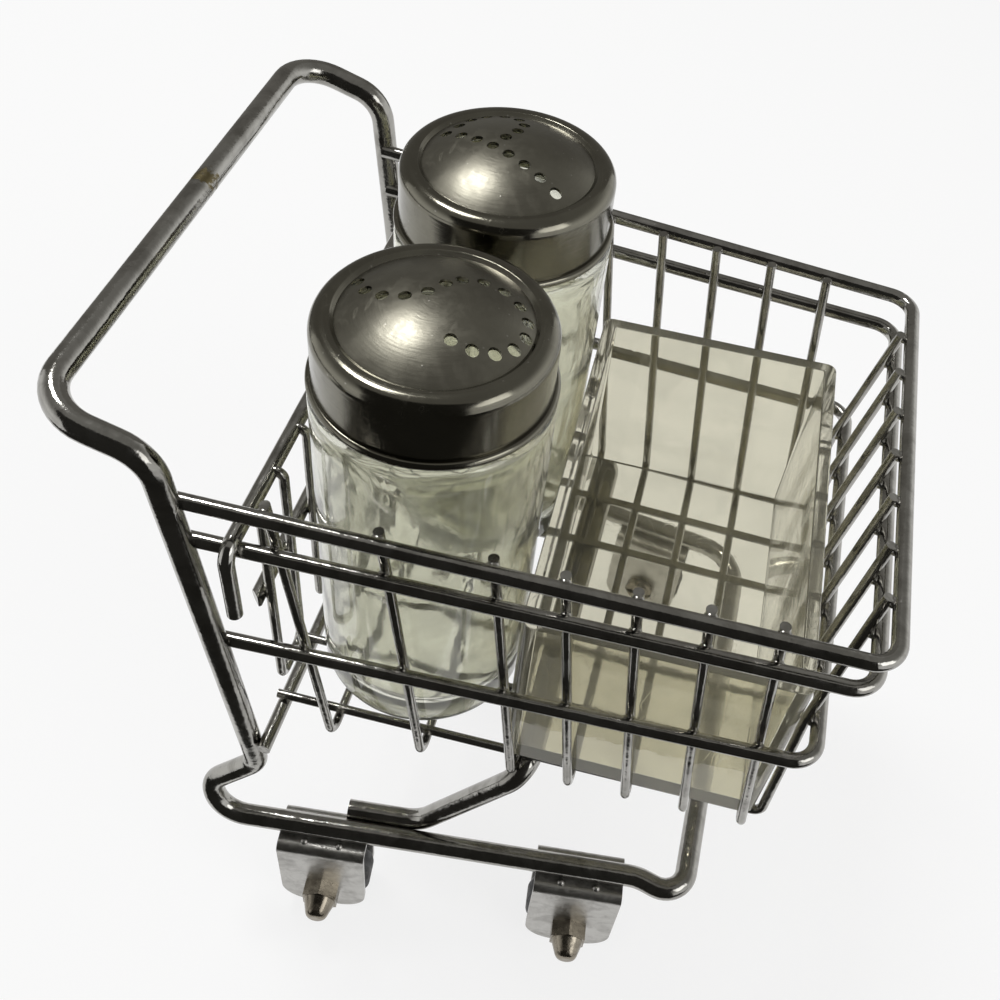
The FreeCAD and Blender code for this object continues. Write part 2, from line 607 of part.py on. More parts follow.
def s_holes():
    """Pour-hole centres along two tangent arcs."""
    up = Vector(-math.cos(math.radians(LETTER_ANGLE)), -math.sin(math.radians(LETTER_ANGLE)), 0)
    middle = Vector(0, S_OFFSET_Y, 0)
    rear_arc = middle - up * S_ARC_RADIUS
    front_arc = middle + up * S_ARC_RADIUS
    holes = []
    for centre, first, last, count in ((rear_arc, -156, -19, 6), (front_arc, 127, -109, 10)):
        for step in range(count):
            angle = math.radians(first + (last - first) * step / (count - 1))
            holes.append(centre + Vector(math.cos(angle), math.sin(angle), 0) * S_ARC_RADIUS)
    return holes


def p_holes():
    """Pour-hole centres along a stem, a bar and a half-round bowl."""
    up = Vector(math.cos(math.radians(LETTER_ANGLE)), math.sin(math.radians(LETTER_ANGLE)), 0)
    right = Vector(up.y, -up.x, 0)
    middle = right * -P_STEM_OFFSET
    gaps = P_STEM_HOLES - 1
    holes = [middle + up * (P_STEM_LENGTH * (1 / 2 - step / gaps)) for step in range(P_STEM_HOLES)]
    bowl_radius = P_STEM_LENGTH * 3 / (2 * gaps)
    bowl_centre = middle + up * (P_STEM_LENGTH / 2 - bowl_radius) + right * P_BOWL_OFFSET
    for angle in range(90, -91, -36):
        turn = math.radians(angle)
        spoke = up * math.sin(turn) + right * math.cos(turn)
        holes.append(bowl_centre + spoke * bowl_radius)
    for level in (0, 2 * bowl_radius):
        holes.append(middle + up * (P_STEM_LENGTH / 2 - level) + right * P_BAR_STEP)
    return holes


def cap(holes):
    """Pressed cap with a rolled hem, a grooved ring and a pierced dome."""
    shell = cap_solid(0, cap_hem_z + CAP_HEM_RADIUS).cut(cap_solid(CAP_SHEET, cap_hem_z - 1))
    hem = Part.makeTorus(cap_radius - CAP_SHEET + CAP_HEM_RADIUS, CAP_HEM_RADIUS,
                         Vector(0, 0, cap_hem_z + CAP_HEM_RADIUS), Vector(0, 0, 1))
    shell = shell.fuse(hem)
    for centre in holes:
        shell = shell.cut(Part.makeCylinder(POUR_HOLE_DIAMETER / 2, DOME_HEIGHT * 3,
                                            centre + Vector(0, 0, cap_top_z - DOME_HEIGHT)))
    return single(shell)


# ------------------------------------------------------------ packet holder
turn_slope = math.tan(math.radians(HOLDER_TURN))
cap_hem_radius = cap_radius - CAP_SHEET + 2 * CAP_HEM_RADIUS
shaker_side = SHAKER_HALF_SPACING - HOLDER_OFFSET_Y
holder_rear_x = (SHAKER_X + max(cap_hem_radius, JAR_RADIUS) + HOLDER_SHAKER_GAP
                 + turn_slope * shaker_side)
holder_front_x = long_foot_x - mesh_r - HOLDER_FRONT_GAP - turn_slope * long_span_front
holder_middle_x = (holder_rear_x + holder_front_x) / 2


def holder_room(x):
    """Half width between the side wires at x that is left for the holder as it stands."""
    near_shift = -HOLDER_OFFSET_Y - turn_slope * (x - holder_middle_x)
    return rim_half_width(x) - wire_seat - mesh_r - HOLDER_SIDE_GAP - near_shift


holder_width = 2 * min(holder_room(holder_rear_x), holder_room(holder_front_x))


def packet_holder():
    """Clear open-topped box with rounded upright corners, standing a little askew."""
    length = holder_front_x - holder_rear_x
    corner = Vector(-length / 2, -holder_width / 2, 0)
    outer = Part.makeBox(length, holder_width, HOLDER_HEIGHT, corner)
    uprights = [e for e in outer.Edges if e.tangentAt(0).cross(Vector(0, 0, 1)).Length < 1e-6]
    outer = outer.makeFillet(HOLDER_CORNER_RADIUS, uprights)
    inner = Part.makeBox(length - 2 * HOLDER_WALL, holder_width - 2 * HOLDER_WALL, HOLDER_HEIGHT,
                         corner + Vector(HOLDER_WALL, HOLDER_WALL, HOLDER_WALL))
    box = single(outer.cut(inner))
    box.rotate(Vector(0, 0, 0), Vector(0, 0, 1), HOLDER_TURN)
    box.translate(Vector(holder_middle_x, HOLDER_OFFSET_Y, rest_z))
    return box


# ------------------------------------------------------------------- output
frame = frame_wire()
export("frame_wire", frame)
export("support_wire", support_wire())

for rim_name, rear_z, front_z in (("rim_top", TOP_RIM_REAR_Z, TOP_RIM_FRONT_Z),
                                  ("rim_middle", MIDDLE_RIM_REAR_Z, MIDDLE_RIM_FRONT_Z),
                                  ("rim_lower", LOWER_RIM_REAR_Z, LOWER_RIM_FRONT_Z)):
    export(rim_name, rim(rear_z, front_z, frame))

rear_bar, rear_bar_x = rear_floor_bar()
export("rear_floor_bar", rear_bar)

for number, floor_x in enumerate(cross_wire_xs(), start=1):
    export("cross_wire_%d" % number, cross_wire(floor_x))

for number in range(LONG_WIRE_COUNT):
    share = 2 * number / (LONG_WIRE_COUNT - 1) - 1
    export("front_wire_%d" % (number + 1), long_wire(share, rear_bar_x))

bolts = []
nuts = []
for end, x in (("rear", WHEELBASE_REAR), ("front", WHEELBASE_FRONT)):
    for side_name, side in (("near", -1), ("far", 1)):
        spot = rail_frame(x, side)
        export("bracket_%s_%s" % (end, side_name), placed(bracket(), spot))
        export("wheel_%s_%s" % (end, side_name), placed(wheel(), spot))
        bolts.append(placed(axle_bolt(), spot))
        nuts.append(placed(acorn_nut(), spot))
export("axle_bolts", Part.makeCompound(bolts))
export("acorn_nuts", Part.makeCompound(nuts))

hinge_bar = gate_hinge_bar()
export("gate_hinge_bar", hinge_bar)
export("gate_middle_bar", gate_middle_bar())
for number in range(HAIRPIN_COUNT):
    centre_y = hairpin_span * (2 * number / (HAIRPIN_COUNT - 1) - 1)
    export("gate_hairpin_%d" % (number + 1), gate_hairpin(centre_y, hinge_bar))

for name, side, holes in (("salt", -1, s_holes()), ("pepper", 1, p_holes())):
    place = Vector(SHAKER_X, side * SHAKER_HALF_SPACING, 0)
    for piece_name, piece in (("shaker_jar", jar()), ("shaker_cap", cap(holes))):
        piece.translate(place)
        export("%s_%s" % (piece_name, name), piece)

export("packet_holder", packet_holder())
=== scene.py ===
"""Looks of a table-top condiment cart: a chrome wire basket on wheels with two shakers.

Everything is in metres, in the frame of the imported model: +X runs from the handle to the
front of the basket, -Y is the near side and +Z is up.
"""
import logging
import math
from collections.abc import Callable, Iterator
from contextlib import contextmanager
from dataclasses import dataclass
from enum import Enum

import bpy
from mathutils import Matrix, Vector


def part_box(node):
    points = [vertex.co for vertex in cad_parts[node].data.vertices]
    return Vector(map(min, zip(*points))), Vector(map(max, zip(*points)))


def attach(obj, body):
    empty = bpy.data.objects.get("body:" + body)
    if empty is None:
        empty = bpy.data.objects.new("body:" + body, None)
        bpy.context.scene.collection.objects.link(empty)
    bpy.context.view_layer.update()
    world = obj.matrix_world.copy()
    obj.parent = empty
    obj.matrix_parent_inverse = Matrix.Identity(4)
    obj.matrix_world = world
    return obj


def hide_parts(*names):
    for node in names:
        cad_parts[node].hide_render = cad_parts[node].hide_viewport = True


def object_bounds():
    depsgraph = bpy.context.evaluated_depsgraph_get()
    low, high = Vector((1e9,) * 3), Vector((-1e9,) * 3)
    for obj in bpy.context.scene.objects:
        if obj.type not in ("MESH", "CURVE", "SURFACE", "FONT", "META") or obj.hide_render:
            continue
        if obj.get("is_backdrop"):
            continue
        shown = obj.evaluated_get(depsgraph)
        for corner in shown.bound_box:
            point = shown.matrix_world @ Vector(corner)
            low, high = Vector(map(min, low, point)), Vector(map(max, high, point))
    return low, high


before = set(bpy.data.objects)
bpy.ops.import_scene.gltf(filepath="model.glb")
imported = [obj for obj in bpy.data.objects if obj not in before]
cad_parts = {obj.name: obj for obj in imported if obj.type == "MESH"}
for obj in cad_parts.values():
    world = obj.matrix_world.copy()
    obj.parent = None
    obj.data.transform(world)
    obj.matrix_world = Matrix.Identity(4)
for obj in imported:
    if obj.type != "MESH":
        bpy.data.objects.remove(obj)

LOG = logging.getLogger("condiment_cart")
MM = 0.001
SMOOTH_ANGLE = math.radians(38)
MERGE_GAP = 0.0001 * MM

Triple = tuple[float, float, float]
Profile = list[tuple[float, float]]
Place = tuple[Vector, Vector, float]
Socket = bpy.types.NodeSocket


class Side(Enum):
    """A side of the cart, as the sign of its Y."""

    NEAR = -1
    FAR = 1


class Contents(Enum):
    """What a shaker holds, as its nodes name it."""

    SALT = "salt"
    PEPPER = "pepper"


class Element(Enum):
    """A kind of mesh element, as the name of its list in a mesh."""

    FACE = "polygons"
    EDGE = "edges"


# ---------------- shader sheets
class NodeSheet:
    """A shader node tree with short calls for adding and joining nodes."""

    def __init__(self, tree: bpy.types.NodeTree) -> None:
        """Start on an existing node tree."""
        self.tree = tree

    def feed(self, target: Socket, source: object) -> None:
        """Join a socket to a target socket, or set the target's own value.

        Args:
            target: an input socket.
            source: an output socket, or a plain value.
        """
        if isinstance(source, Socket):
            self.tree.links.new(source, target)
        else:
            target.default_value = source

    def node(self, kind: str, *sources: object, **settings: object) -> bpy.types.Node:
        """Add a node.

        Args:
            kind: the node's type name without the ShaderNode prefix.
            sources: a socket or plain value for each of its first inputs, in order.
            settings: attributes of the node, such as operation.

        Returns:
            The new node.
        """
        made = self.tree.nodes.new("ShaderNode" + kind)
        for key, value in settings.items():
            setattr(made, key, value)
        for target, source in zip(made.inputs, sources):
            self.feed(target, source)
        return made

    def fed(self, made: bpy.types.Node, **values: object) -> bpy.types.Node:
        """Feed a node's inputs by name.

        Args:
            made: the node.
            values: a socket or plain value by input name, with _ for each space.

        Returns:
            The same node.
        """
        for key, value in values.items():
            self.feed(made.inputs[key.replace("_", " ")], value)
        return made

    def maths(self, operation: str, first: object, second: object = 0.0) -> Socket:
        """Return the result of a Math node on one or two values."""
        return self.node("Math", first, second, operation=operation).outputs[0]

    def added(self, base: object, extra: object, share: float) -> Socket:
        """Return the base plus a share of the extra."""
        return self.maths("ADD", base, self.maths("MULTIPLY", extra, share))

    def vector_maths(self, operation: str, first: object, second: object) -> Socket:
        """Return the result of a Vector Math node on two vectors."""
        return self.node("VectorMath", first, second, operation=operation).outputs[0]

    def scaled(self, vector: object, scale: object) -> Socket:
        """Return the vector times one number."""
        return self.fed(self.node("VectorMath", vector, operation="SCALE"), Scale=scale).outputs[0]

    def length(self, vector: object) -> Socket:
        """Return the vector's length."""
        return self.node("VectorMath", vector, operation="LENGTH").outputs["Value"]

    def split(self, vector: object) -> bpy.types.NodeOutputs:
        """Return the vector's X, Y and Z."""
        return self.node("SeparateXYZ", vector).outputs

    def noise(self, vector: object, detail: float, roughness: float = 0.5, distortion: float = 0.0) -> Socket:
        """Add a Noise texture of unit scale.

        Args:
            vector: where the noise is read.
            detail: octaves of finer noise.
            roughness: how strong the finer octaves are.
            distortion: how much the pattern is stirred.

        Returns:
            The noise value, about 0.3 to 0.7.
        """
        made = self.node("TexNoise", vector)
        self.fed(made, Scale=1.0, Detail=detail, Roughness=roughness, Distortion=distortion)
        return made.outputs[0]

    def spread(self, value: object, low: float, high: float, out_low: object = 0.0,
               out_high: object = 1.0) -> Socket:
        """Return a value mapped smoothly from low and high to out_low and out_high, and clamped."""
        made = self.node("MapRange", value, low, high, out_low, out_high, interpolation_type="SMOOTHSTEP")
        return made.outputs[0]

    def blend(self, share: object, first: object, second: object) -> Socket:
        """Return the first colour with a share of the second mixed in."""
        made = self.fed(self.node("Mix", data_type="RGBA"), Factor=share, A=first, B=second)
        return made.outputs["Result"]


def rgba(colour: Triple) -> tuple[float, float, float, float]:
    """Return the colour with full alpha."""
    return (*colour, 1.0)


WHITE = rgba((1.0, 1.0, 1.0))


class Effect:
    """A shader node group that reads a place and puts out one pattern, used in many finishes."""

    title = "effect"
    values: tuple[tuple[str, str, object], ...] = ()
    result = ("Height", "Float")

    def __init__(self) -> None:
        """Make the group and its sockets, and wire its inside."""
        self.group = bpy.data.node_groups.new(self.title, "ShaderNodeTree")
        face = self.group.interface
        face.new_socket(name="Vector", in_out="INPUT", socket_type="NodeSocketVector")
        for name, kind, value in self.values:
            socket = face.new_socket(name=name, in_out="INPUT", socket_type="NodeSocket" + kind)
            socket.default_value = value
        face.new_socket(name=self.result[0], in_out="OUTPUT", socket_type="NodeSocket" + self.result[1])
        self.sheet = NodeSheet(self.group)
        self.given = self.group.nodes.new("NodeGroupInput").outputs
        wanted = self.group.nodes.new("NodeGroupOutput").inputs[0]
        self.sheet.feed(wanted, self.pattern())

    def pattern(self) -> Socket:
        """Wire the group's inside and return what it puts out."""
        raise NotImplementedError

    def place(self, scale: str, stretch: str = "") -> Socket:
        """Read the given place, stretched and then scaled.

        Args:
            scale: the name of the input that scales it.
            stretch: the name of the input that stretches it, if one does.

        Returns:
            The place.
        """
        vector = self.given["Vector"]
        if stretch:
            vector = self.sheet.vector_maths("MULTIPLY", vector, self.given[stretch])
        return self.sheet.scaled(vector, self.given[scale])


class PlatingHaze(Effect):
    """Cloudy patches where bright plating has gone dull."""

    title = "plating_haze"
    values = (("Patches", "Float", 60.0), ("Clear", "Color", (0.5, 0.5, 0.5, 1)),
              ("Dull", "Color", (0.3, 0.3, 0.3, 1)))
    result = ("Colour", "Color")

    def pattern(self) -> Socket:
        """Mix the two colours by stirred noise."""
        cloud = self.sheet.noise(self.place("Patches"), 5.0, 0.62, 0.8)
        return self.sheet.blend(self.sheet.spread(cloud, 0.42, 0.66), self.given["Clear"], self.given["Dull"])


class Smudges(Effect):
    """Finger marks and wipe marks: roughness that wanders between clean and greasy."""

    title = "smudges"
    values = (("Patches", "Float", 120.0), ("Clean", "Float", 0.1), ("Greasy", "Float", 0.3))
    result = ("Roughness", "Float")

    def pattern(self) -> Socket:
        """Read broad and fine noise together.

        Returns:
            The roughness.
        """
        sheet = self.sheet
        place = self.place("Patches")
        broad = sheet.noise(place, 3.0, 0.6, 1.4)
        fine = sheet.noise(sheet.scaled(place, 7.3), 2.0)
        both = sheet.added(sheet.maths("MULTIPLY", broad, 0.75), fine, 0.25)
        return sheet.spread(both, 0.4, 0.62, self.given["Clean"], self.given["Greasy"])


class Grain(Effect):
    """Fine uneven grain of drawn or plated metal."""

    title = "grain"
    values = (("Fineness", "Float", 2500.0), ("Stretch", "Vector", (1, 1, 1)))

    def pattern(self) -> Socket:
        """Return stretched noise."""
        return self.sheet.noise(self.place("Fineness", "Stretch"), 3.0, 0.55)


class Scratches(Effect):
    """Sparse hairline scratches running about one way."""

    title = "scratches"
    values = (("Closeness", "Float", 300.0), ("Stretch", "Vector", (1, 1, 1)), ("Width", "Float", 0.012))
    result = ("Mask", "Float")

    def pattern(self) -> Socket:
        """Keep the thin line where stretched noise crosses its middle value, in patches.

        Returns:
            The mask of the scratches.
        """
        sheet = self.sheet
        wave = sheet.noise(self.place("Closeness", "Stretch"), 1.5, 0.5, 0.3)
        away = sheet.maths("ABSOLUTE", sheet.maths("SUBTRACT", wave, 0.5))
        widths = sheet.maths("MINIMUM", sheet.maths("DIVIDE", away, self.given["Width"]), 1.0)
        patch = sheet.spread(sheet.noise(sheet.scaled(self.given["Vector"], 90.0), 2.0), 0.46, 0.62)
        return sheet.maths("MULTIPLY", sheet.maths("SUBTRACT", 1.0, widths), patch)


class Pitting(Effect):
    """Scattered round specks: pits in plating, dents in thin sheet, crumbs of salt."""

    title = "pitting"
    values = (("Closeness", "Float", 400.0), ("Size", "Float", 0.14), ("Share", "Float", 0.4))
    result = ("Mask", "Float")

    def pattern(self) -> Socket:
        """Keep a dot in some of the cells of a Voronoi pattern.

        Returns:
            The mask of the specks.
        """
        sheet = self.sheet
        cells = sheet.fed(sheet.node("TexVoronoi", self.place("Closeness")), Scale=1.0)
        reach = sheet.maths("DIVIDE", cells.outputs["Distance"], self.given["Size"])
        dot = sheet.maths("SUBTRACT", 1.0, sheet.maths("MINIMUM", reach, 1.0))
        lot = sheet.node("SeparateColor", cells.outputs["Color"]).outputs[0]
        return sheet.maths("MULTIPLY", dot, sheet.maths("LESS_THAN", lot, self.given["Share"]))


class TurnedRings(Effect):
    """Circular brush marks about the Z axis of the place that is fed in."""

    title = "turned_rings"
    values = (("Closeness", "Float", 4000.0), ("Length", "Float", 3.0))

    def pattern(self) -> Socket:
        """Read noise by radius and height, with a slow change round the axis.

        Returns:
            The height of the brush marks.
        """
        sheet = self.sheet
        flat = sheet.vector_maths("MULTIPLY", self.given["Vector"], (1, 1, 0))
        across = sheet.maths("ADD", sheet.length(flat), sheet.split(self.given["Vector"])["Z"])
        outward = sheet.node("VectorMath", flat, operation="NORMALIZE").outputs[0]
        around = sheet.split(sheet.scaled(outward, self.given["Length"]))
        rings = sheet.maths("MULTIPLY", across, self.given["Closeness"])
        return sheet.noise(sheet.node("CombineXYZ", rings, around["X"], around["Y"]).outputs[0], 3.0, 0.6)


class Ripples(Effect):
    """Soft waves of pressed glass, longer up and down than round."""

    title = "ripples"
    values = (("Closeness", "Float", 150.0), ("Stretch", "Vector", (1, 1, 0.35)))

    def pattern(self) -> Socket:
        """Add a smaller wave to a broad one.

        Returns:
            The height of the waves.
        """
        place = self.place("Closeness", "Stretch")
        small = self.sheet.noise(self.sheet.scaled(place, 2.9), 1.0, 0.5, 0.6)
        return self.sheet.added(self.sheet.noise(place, 1.0, 0.4, 1.1), small, 0.3)


Effects = dict[type[Effect], Effect]


# ---------------- finishes
class Coat:
    """A material being made: its shader, the place that patterns read, and its look so far."""

    def __init__(self, name: str, effects: Effects, centre: Vector) -> None:
        """Start an empty material.

        Args:
            name: the material's name.
            effects: the shared groups.
            centre: the point that patterns are centred on.
        """
        self.effects = effects
        self.material = bpy.data.materials.new(name)
        self.material.use_nodes = True
        self.sheet = NodeSheet(self.material.node_tree)
        self.shader = self.material.node_tree.nodes["Principled BSDF"]
        mapping = self.sheet.node("Mapping", self.sheet.node("TexCoord").outputs["Object"])
        self.place = self.sheet.fed(mapping, Location=-centre).outputs[0]
        self.colour: Socket | None = None
        self.roughness: Socket | None = None
        self.normal: Socket | None = None

    def effect(self, kind: type[Effect], **values: object) -> Socket:
        """Return the pattern of a shared effect at the coat's own place, with its other inputs by name."""
        made = self.sheet.node("Group", node_tree=self.effects[kind].group)
        return self.sheet.fed(made, Vector=self.place, **values).outputs[0]

    def tint(self, mask: Socket, colour: Triple) -> None:
        """Lay a colour over the coat's colour where the mask is."""
        self.colour = self.sheet.blend(mask, self.colour, rgba(colour))

    def roughen(self, mask: Socket, share: float) -> None:
        """Add a share of the mask to the coat's roughness."""
        self.roughness = self.sheet.added(self.roughness, mask, share)

    def bump(self, height: Socket, distance: float) -> None:
        """Raise a pattern on top of the bumps so far.

        Args:
            height: the height pattern.
            distance: how high 1.0 of the pattern stands, in metres.
        """
        made = self.sheet.fed(self.sheet.node("Bump"), Distance=distance, Height=height)
        if self.normal is not None:
            self.sheet.fed(made, Normal=self.normal)
        self.normal = made.outputs["Normal"]

    def set(self, **values: object) -> None:
        """Set or join the shader's inputs, named with _ for each space."""
        self.sheet.fed(self.shader, **values)


@dataclass(frozen=True, kw_only=True)
class Finish:
    """What every finish has: a colour that hazes over, and a gloss with marks of wiping and fingers.

    clouds and marks say how many patches of haze and of smudges there are in a metre.
    """

    name: str
    clear: Triple
    dull: Triple
    clouds: float
    clean: float
    greasy: float
    marks: float
    metallic: float = 1.0
    centre: Vector | None = None

    def make(self, effects: Effects) -> bpy.types.Material:
        """Build the material.

        Args:
            effects: the shared groups.

        Returns:
            The finished material.
        """
        coat = Coat(self.name, effects, self.centre or Vector())
        coat.colour = coat.effect(PlatingHaze, Patches=self.clouds, Clear=rgba(self.clear),
                                  Dull=rgba(self.dull))
        coat.roughness = coat.effect(Smudges, Patches=self.marks, Clean=self.clean, Greasy=self.greasy)
        self.work(coat)
        coat.set(Metallic=self.metallic, Base_Color=coat.colour, Roughness=coat.roughness, Normal=coat.normal)
        return coat.material

    def work(self, coat: Coat) -> None:
        """Add what only this finish has."""
        raise NotImplementedError


@dataclass(frozen=True)
class WornSpot:
    """A ragged place where the plating is worn through to brownish metal."""

    centre: Triple = (-0.0714, 0.0066, 0.1556)
    half_size: Triple = (0.0042, 0.0028, 0.0028)
    colour: Triple = (0.17, 0.14, 0.075)

    def wear(self, coat: Coat) -> None:
        """Lay the spot over the coat.

        Args:
            coat: the material being made.
        """
        sheet = coat.sheet
        offset = sheet.vector_maths("SUBTRACT", coat.place, self.centre)
        reach = sheet.vector_maths("MULTIPLY", offset, tuple(1 / size for size in self.half_size))
        ragged = sheet.maths("SUBTRACT", coat.effect(Grain, Fineness=700.0), 0.5)
        worn = sheet.spread(sheet.added(sheet.length(reach), ragged, 2.4), 0.62, 1.05, 1.0, 0.0)
        coat.tint(worn, self.colour)
        coat.roughen(worn, 0.25)


@dataclass(frozen=True, kw_only=True)
class BrightWire(Finish):
    """Bright plating on drawn steel wire, with small dark pits."""

    clear: Triple = (0.38, 0.372, 0.348)
    dull: Triple = (0.27, 0.262, 0.242)
    clouds: float = 110.0
    clean: float = 0.10
    greasy: float = 0.19
    marks: float = 150.0
    pit: Triple = (0.07, 0.065, 0.06)
    spot: WornSpot | None = None

    def work(self, coat: Coat) -> None:
        """Add pits, the worn spot, waves and grain.

        Args:
            coat: the material being made.
        """
        pits = coat.effect(Pitting, Closeness=520.0, Size=0.20, Share=0.22)
        coat.tint(coat.sheet.maths("MULTIPLY", pits, 0.4), self.pit)
        if self.spot:
            self.spot.wear(coat)
        coat.bump(coat.effect(Grain, Fineness=240.0), 0.14 * MM)
        coat.bump(coat.effect(Grain, Fineness=2600.0), 0.012 * MM)


@dataclass(frozen=True, kw_only=True)
class PlateSteel(Finish):
    """Bright sheet or turned steel with straight rubbing marks."""

    clear: Triple = (0.48, 0.47, 0.445)
    dull: Triple = (0.36, 0.35, 0.33)
    clouds: float = 220.0
    clean: float = 0.30
    greasy: float = 0.42
    marks: float = 260.0
    stretch: Triple = (0.12, 1.0, 1.0)

    def work(self, coat: Coat) -> None:
        """Add scratches, waves and grain.

        Args:
            coat: the material being made.
        """
        coat.roughen(coat.effect(Scratches, Closeness=420.0, Stretch=self.stretch), 0.2)
        coat.bump(coat.effect(Grain, Fineness=190.0), 0.20 * MM)
        coat.bump(coat.effect(Grain, Fineness=2400.0, Stretch=self.stretch), 0.02 * MM)


@dataclass(frozen=True, kw_only=True)
class SpunCap(Finish):
    """Satin stainless sheet, spun and then brushed round its axis, with small dents and salt specks.

    Its dome, as far out as dome_reach, is duller than the ring and skirt, which are polished to a
    share of its roughness.
    """

    dome_reach: float
    clear: Triple = (0.190, 0.182, 0.148)
    dull: Triple = (0.165, 0.157, 0.128)
    clouds: float = 70.0
    clean: float = 0.30
    greasy: float = 0.38
    marks: float = 140.0
    polish: float = 0.46
    salt: Triple = (0.62, 0.60, 0.56)
    edge_blur: float = 0.5 * MM

    def work(self, coat: Coat) -> None:
        """Add the polish, specks, scratches, dents and brush rings.

        Args:
            coat: the material being made.
        """
        sheet = coat.sheet
        reach = sheet.length(sheet.vector_maths("MULTIPLY", coat.place, (1, 1, 0)))
        rubbed = sheet.spread(reach, self.dome_reach - self.edge_blur, self.dome_reach + self.edge_blur,
                              1.0, self.polish)
        coat.roughness = sheet.maths("MULTIPLY", coat.roughness, rubbed)
        coat.roughen(coat.effect(Scratches, Closeness=260.0, Stretch=(1.0, 0.35, 1.0)), 0.12)
        specks = coat.effect(Pitting, Closeness=1100.0, Size=0.26, Share=0.05)
        coat.tint(sheet.maths("MULTIPLY", specks, 0.5), self.salt)
        coat.bump(coat.effect(Pitting, Closeness=150.0, Size=0.20, Share=0.14), -0.03 * MM)
        coat.bump(coat.effect(TurnedRings, Closeness=3200.0, Length=2.2), 0.022 * MM)
        coat.bump(specks, 0.02 * MM)


@dataclass(frozen=True, kw_only=True)
class PressedGlass(Finish):
    """Clear pressed glass with soft waves, a faint green cast and a dry film of salt and grease."""

    clear: Triple = (0.86, 0.86, 0.755)
    dull: Triple = (0.7396, 0.7396, 0.6493)
    clouds: float = 90.0
    clean: float = 0.02
    greasy: float = 0.11
    marks: float = 120.0
    metallic: float = 0.0

    def work(self, coat: Coat) -> None:
        """Make it glass, with waves and a finer unevenness.

        Args:
            coat: the material being made.
        """
        coat.set(Transmission_Weight=0.93, IOR=1.51)
        coat.bump(coat.effect(Ripples, Closeness=105.0, Stretch=(1.0, 1.0, 0.35)), 0.13 * MM)
        coat.bump(coat.effect(Grain, Fineness=600.0, Stretch=(0.8, 0.8, 0.5)), 0.013 * MM)


@dataclass(frozen=True, kw_only=True)
class ClearAcrylic(Finish):
    """Cut and glued acrylic sheet gone a little yellow, scuffed all over by packets."""

    name: str = "clear_acrylic_scuffed"
    clear: Triple = (0.80, 0.773, 0.63)
    dull: Triple = (0.72, 0.6957, 0.567)
    clouds: float = 60.0
    clean: float = 0.0
    greasy: float = 0.07
    marks: float = 90.0
    metallic: float = 0.0

    def work(self, coat: Coat) -> None:
        """Make it clear, with scuffs and slightly wavy faces.

        Args:
            coat: the material being made.
        """
        scuffs = coat.effect(Scratches, Closeness=240.0, Stretch=(1.0, 1.0, 0.3))
        coat.set(Transmission_Weight=0.90, IOR=1.49)
        coat.roughen(scuffs, 0.10)
        coat.bump(coat.effect(Grain, Fineness=120.0), 0.03 * MM)
        coat.bump(scuffs, -0.006 * MM)


@dataclass(frozen=True, kw_only=True)
class WheelRubber(Finish):
    """Dark moulded rubber, dusty on its tread."""

    name: str = "wheel_rubber_dusty"
    clear: Triple = (0.030, 0.030, 0.031)
    dull: Triple = (0.075, 0.070, 0.064)
    clouds: float = 260.0
    clean: float = 0.45
    greasy: float = 0.68
    marks: float = 240.0
    metallic: float = 0.0

    def work(self, coat: Coat) -> None:
        """Add a matt grain."""
        coat.bump(coat.effect(Grain, Fineness=1900.0), 0.08 * MM)


# ---------------- mesh workshop
@contextmanager
def editing(selected: str = "SELECT", kind: str = "") -> Iterator[None]:
    """Work on the active piece in edit mode.

    Args:
        selected: SELECT for all of it, DESELECT for none, or nothing to keep what is selected.
        kind: VERT, EDGE or FACE, to select that kind of element.

    Yields:
        Nothing; object mode comes back at the end.
    """
    bpy.ops.object.mode_set(mode="EDIT")
    if kind:
        bpy.ops.mesh.select_mode(type=kind)
    if selected:
        bpy.ops.mesh.select_all(action=selected)
    yield
    bpy.ops.object.mode_set(mode="OBJECT")


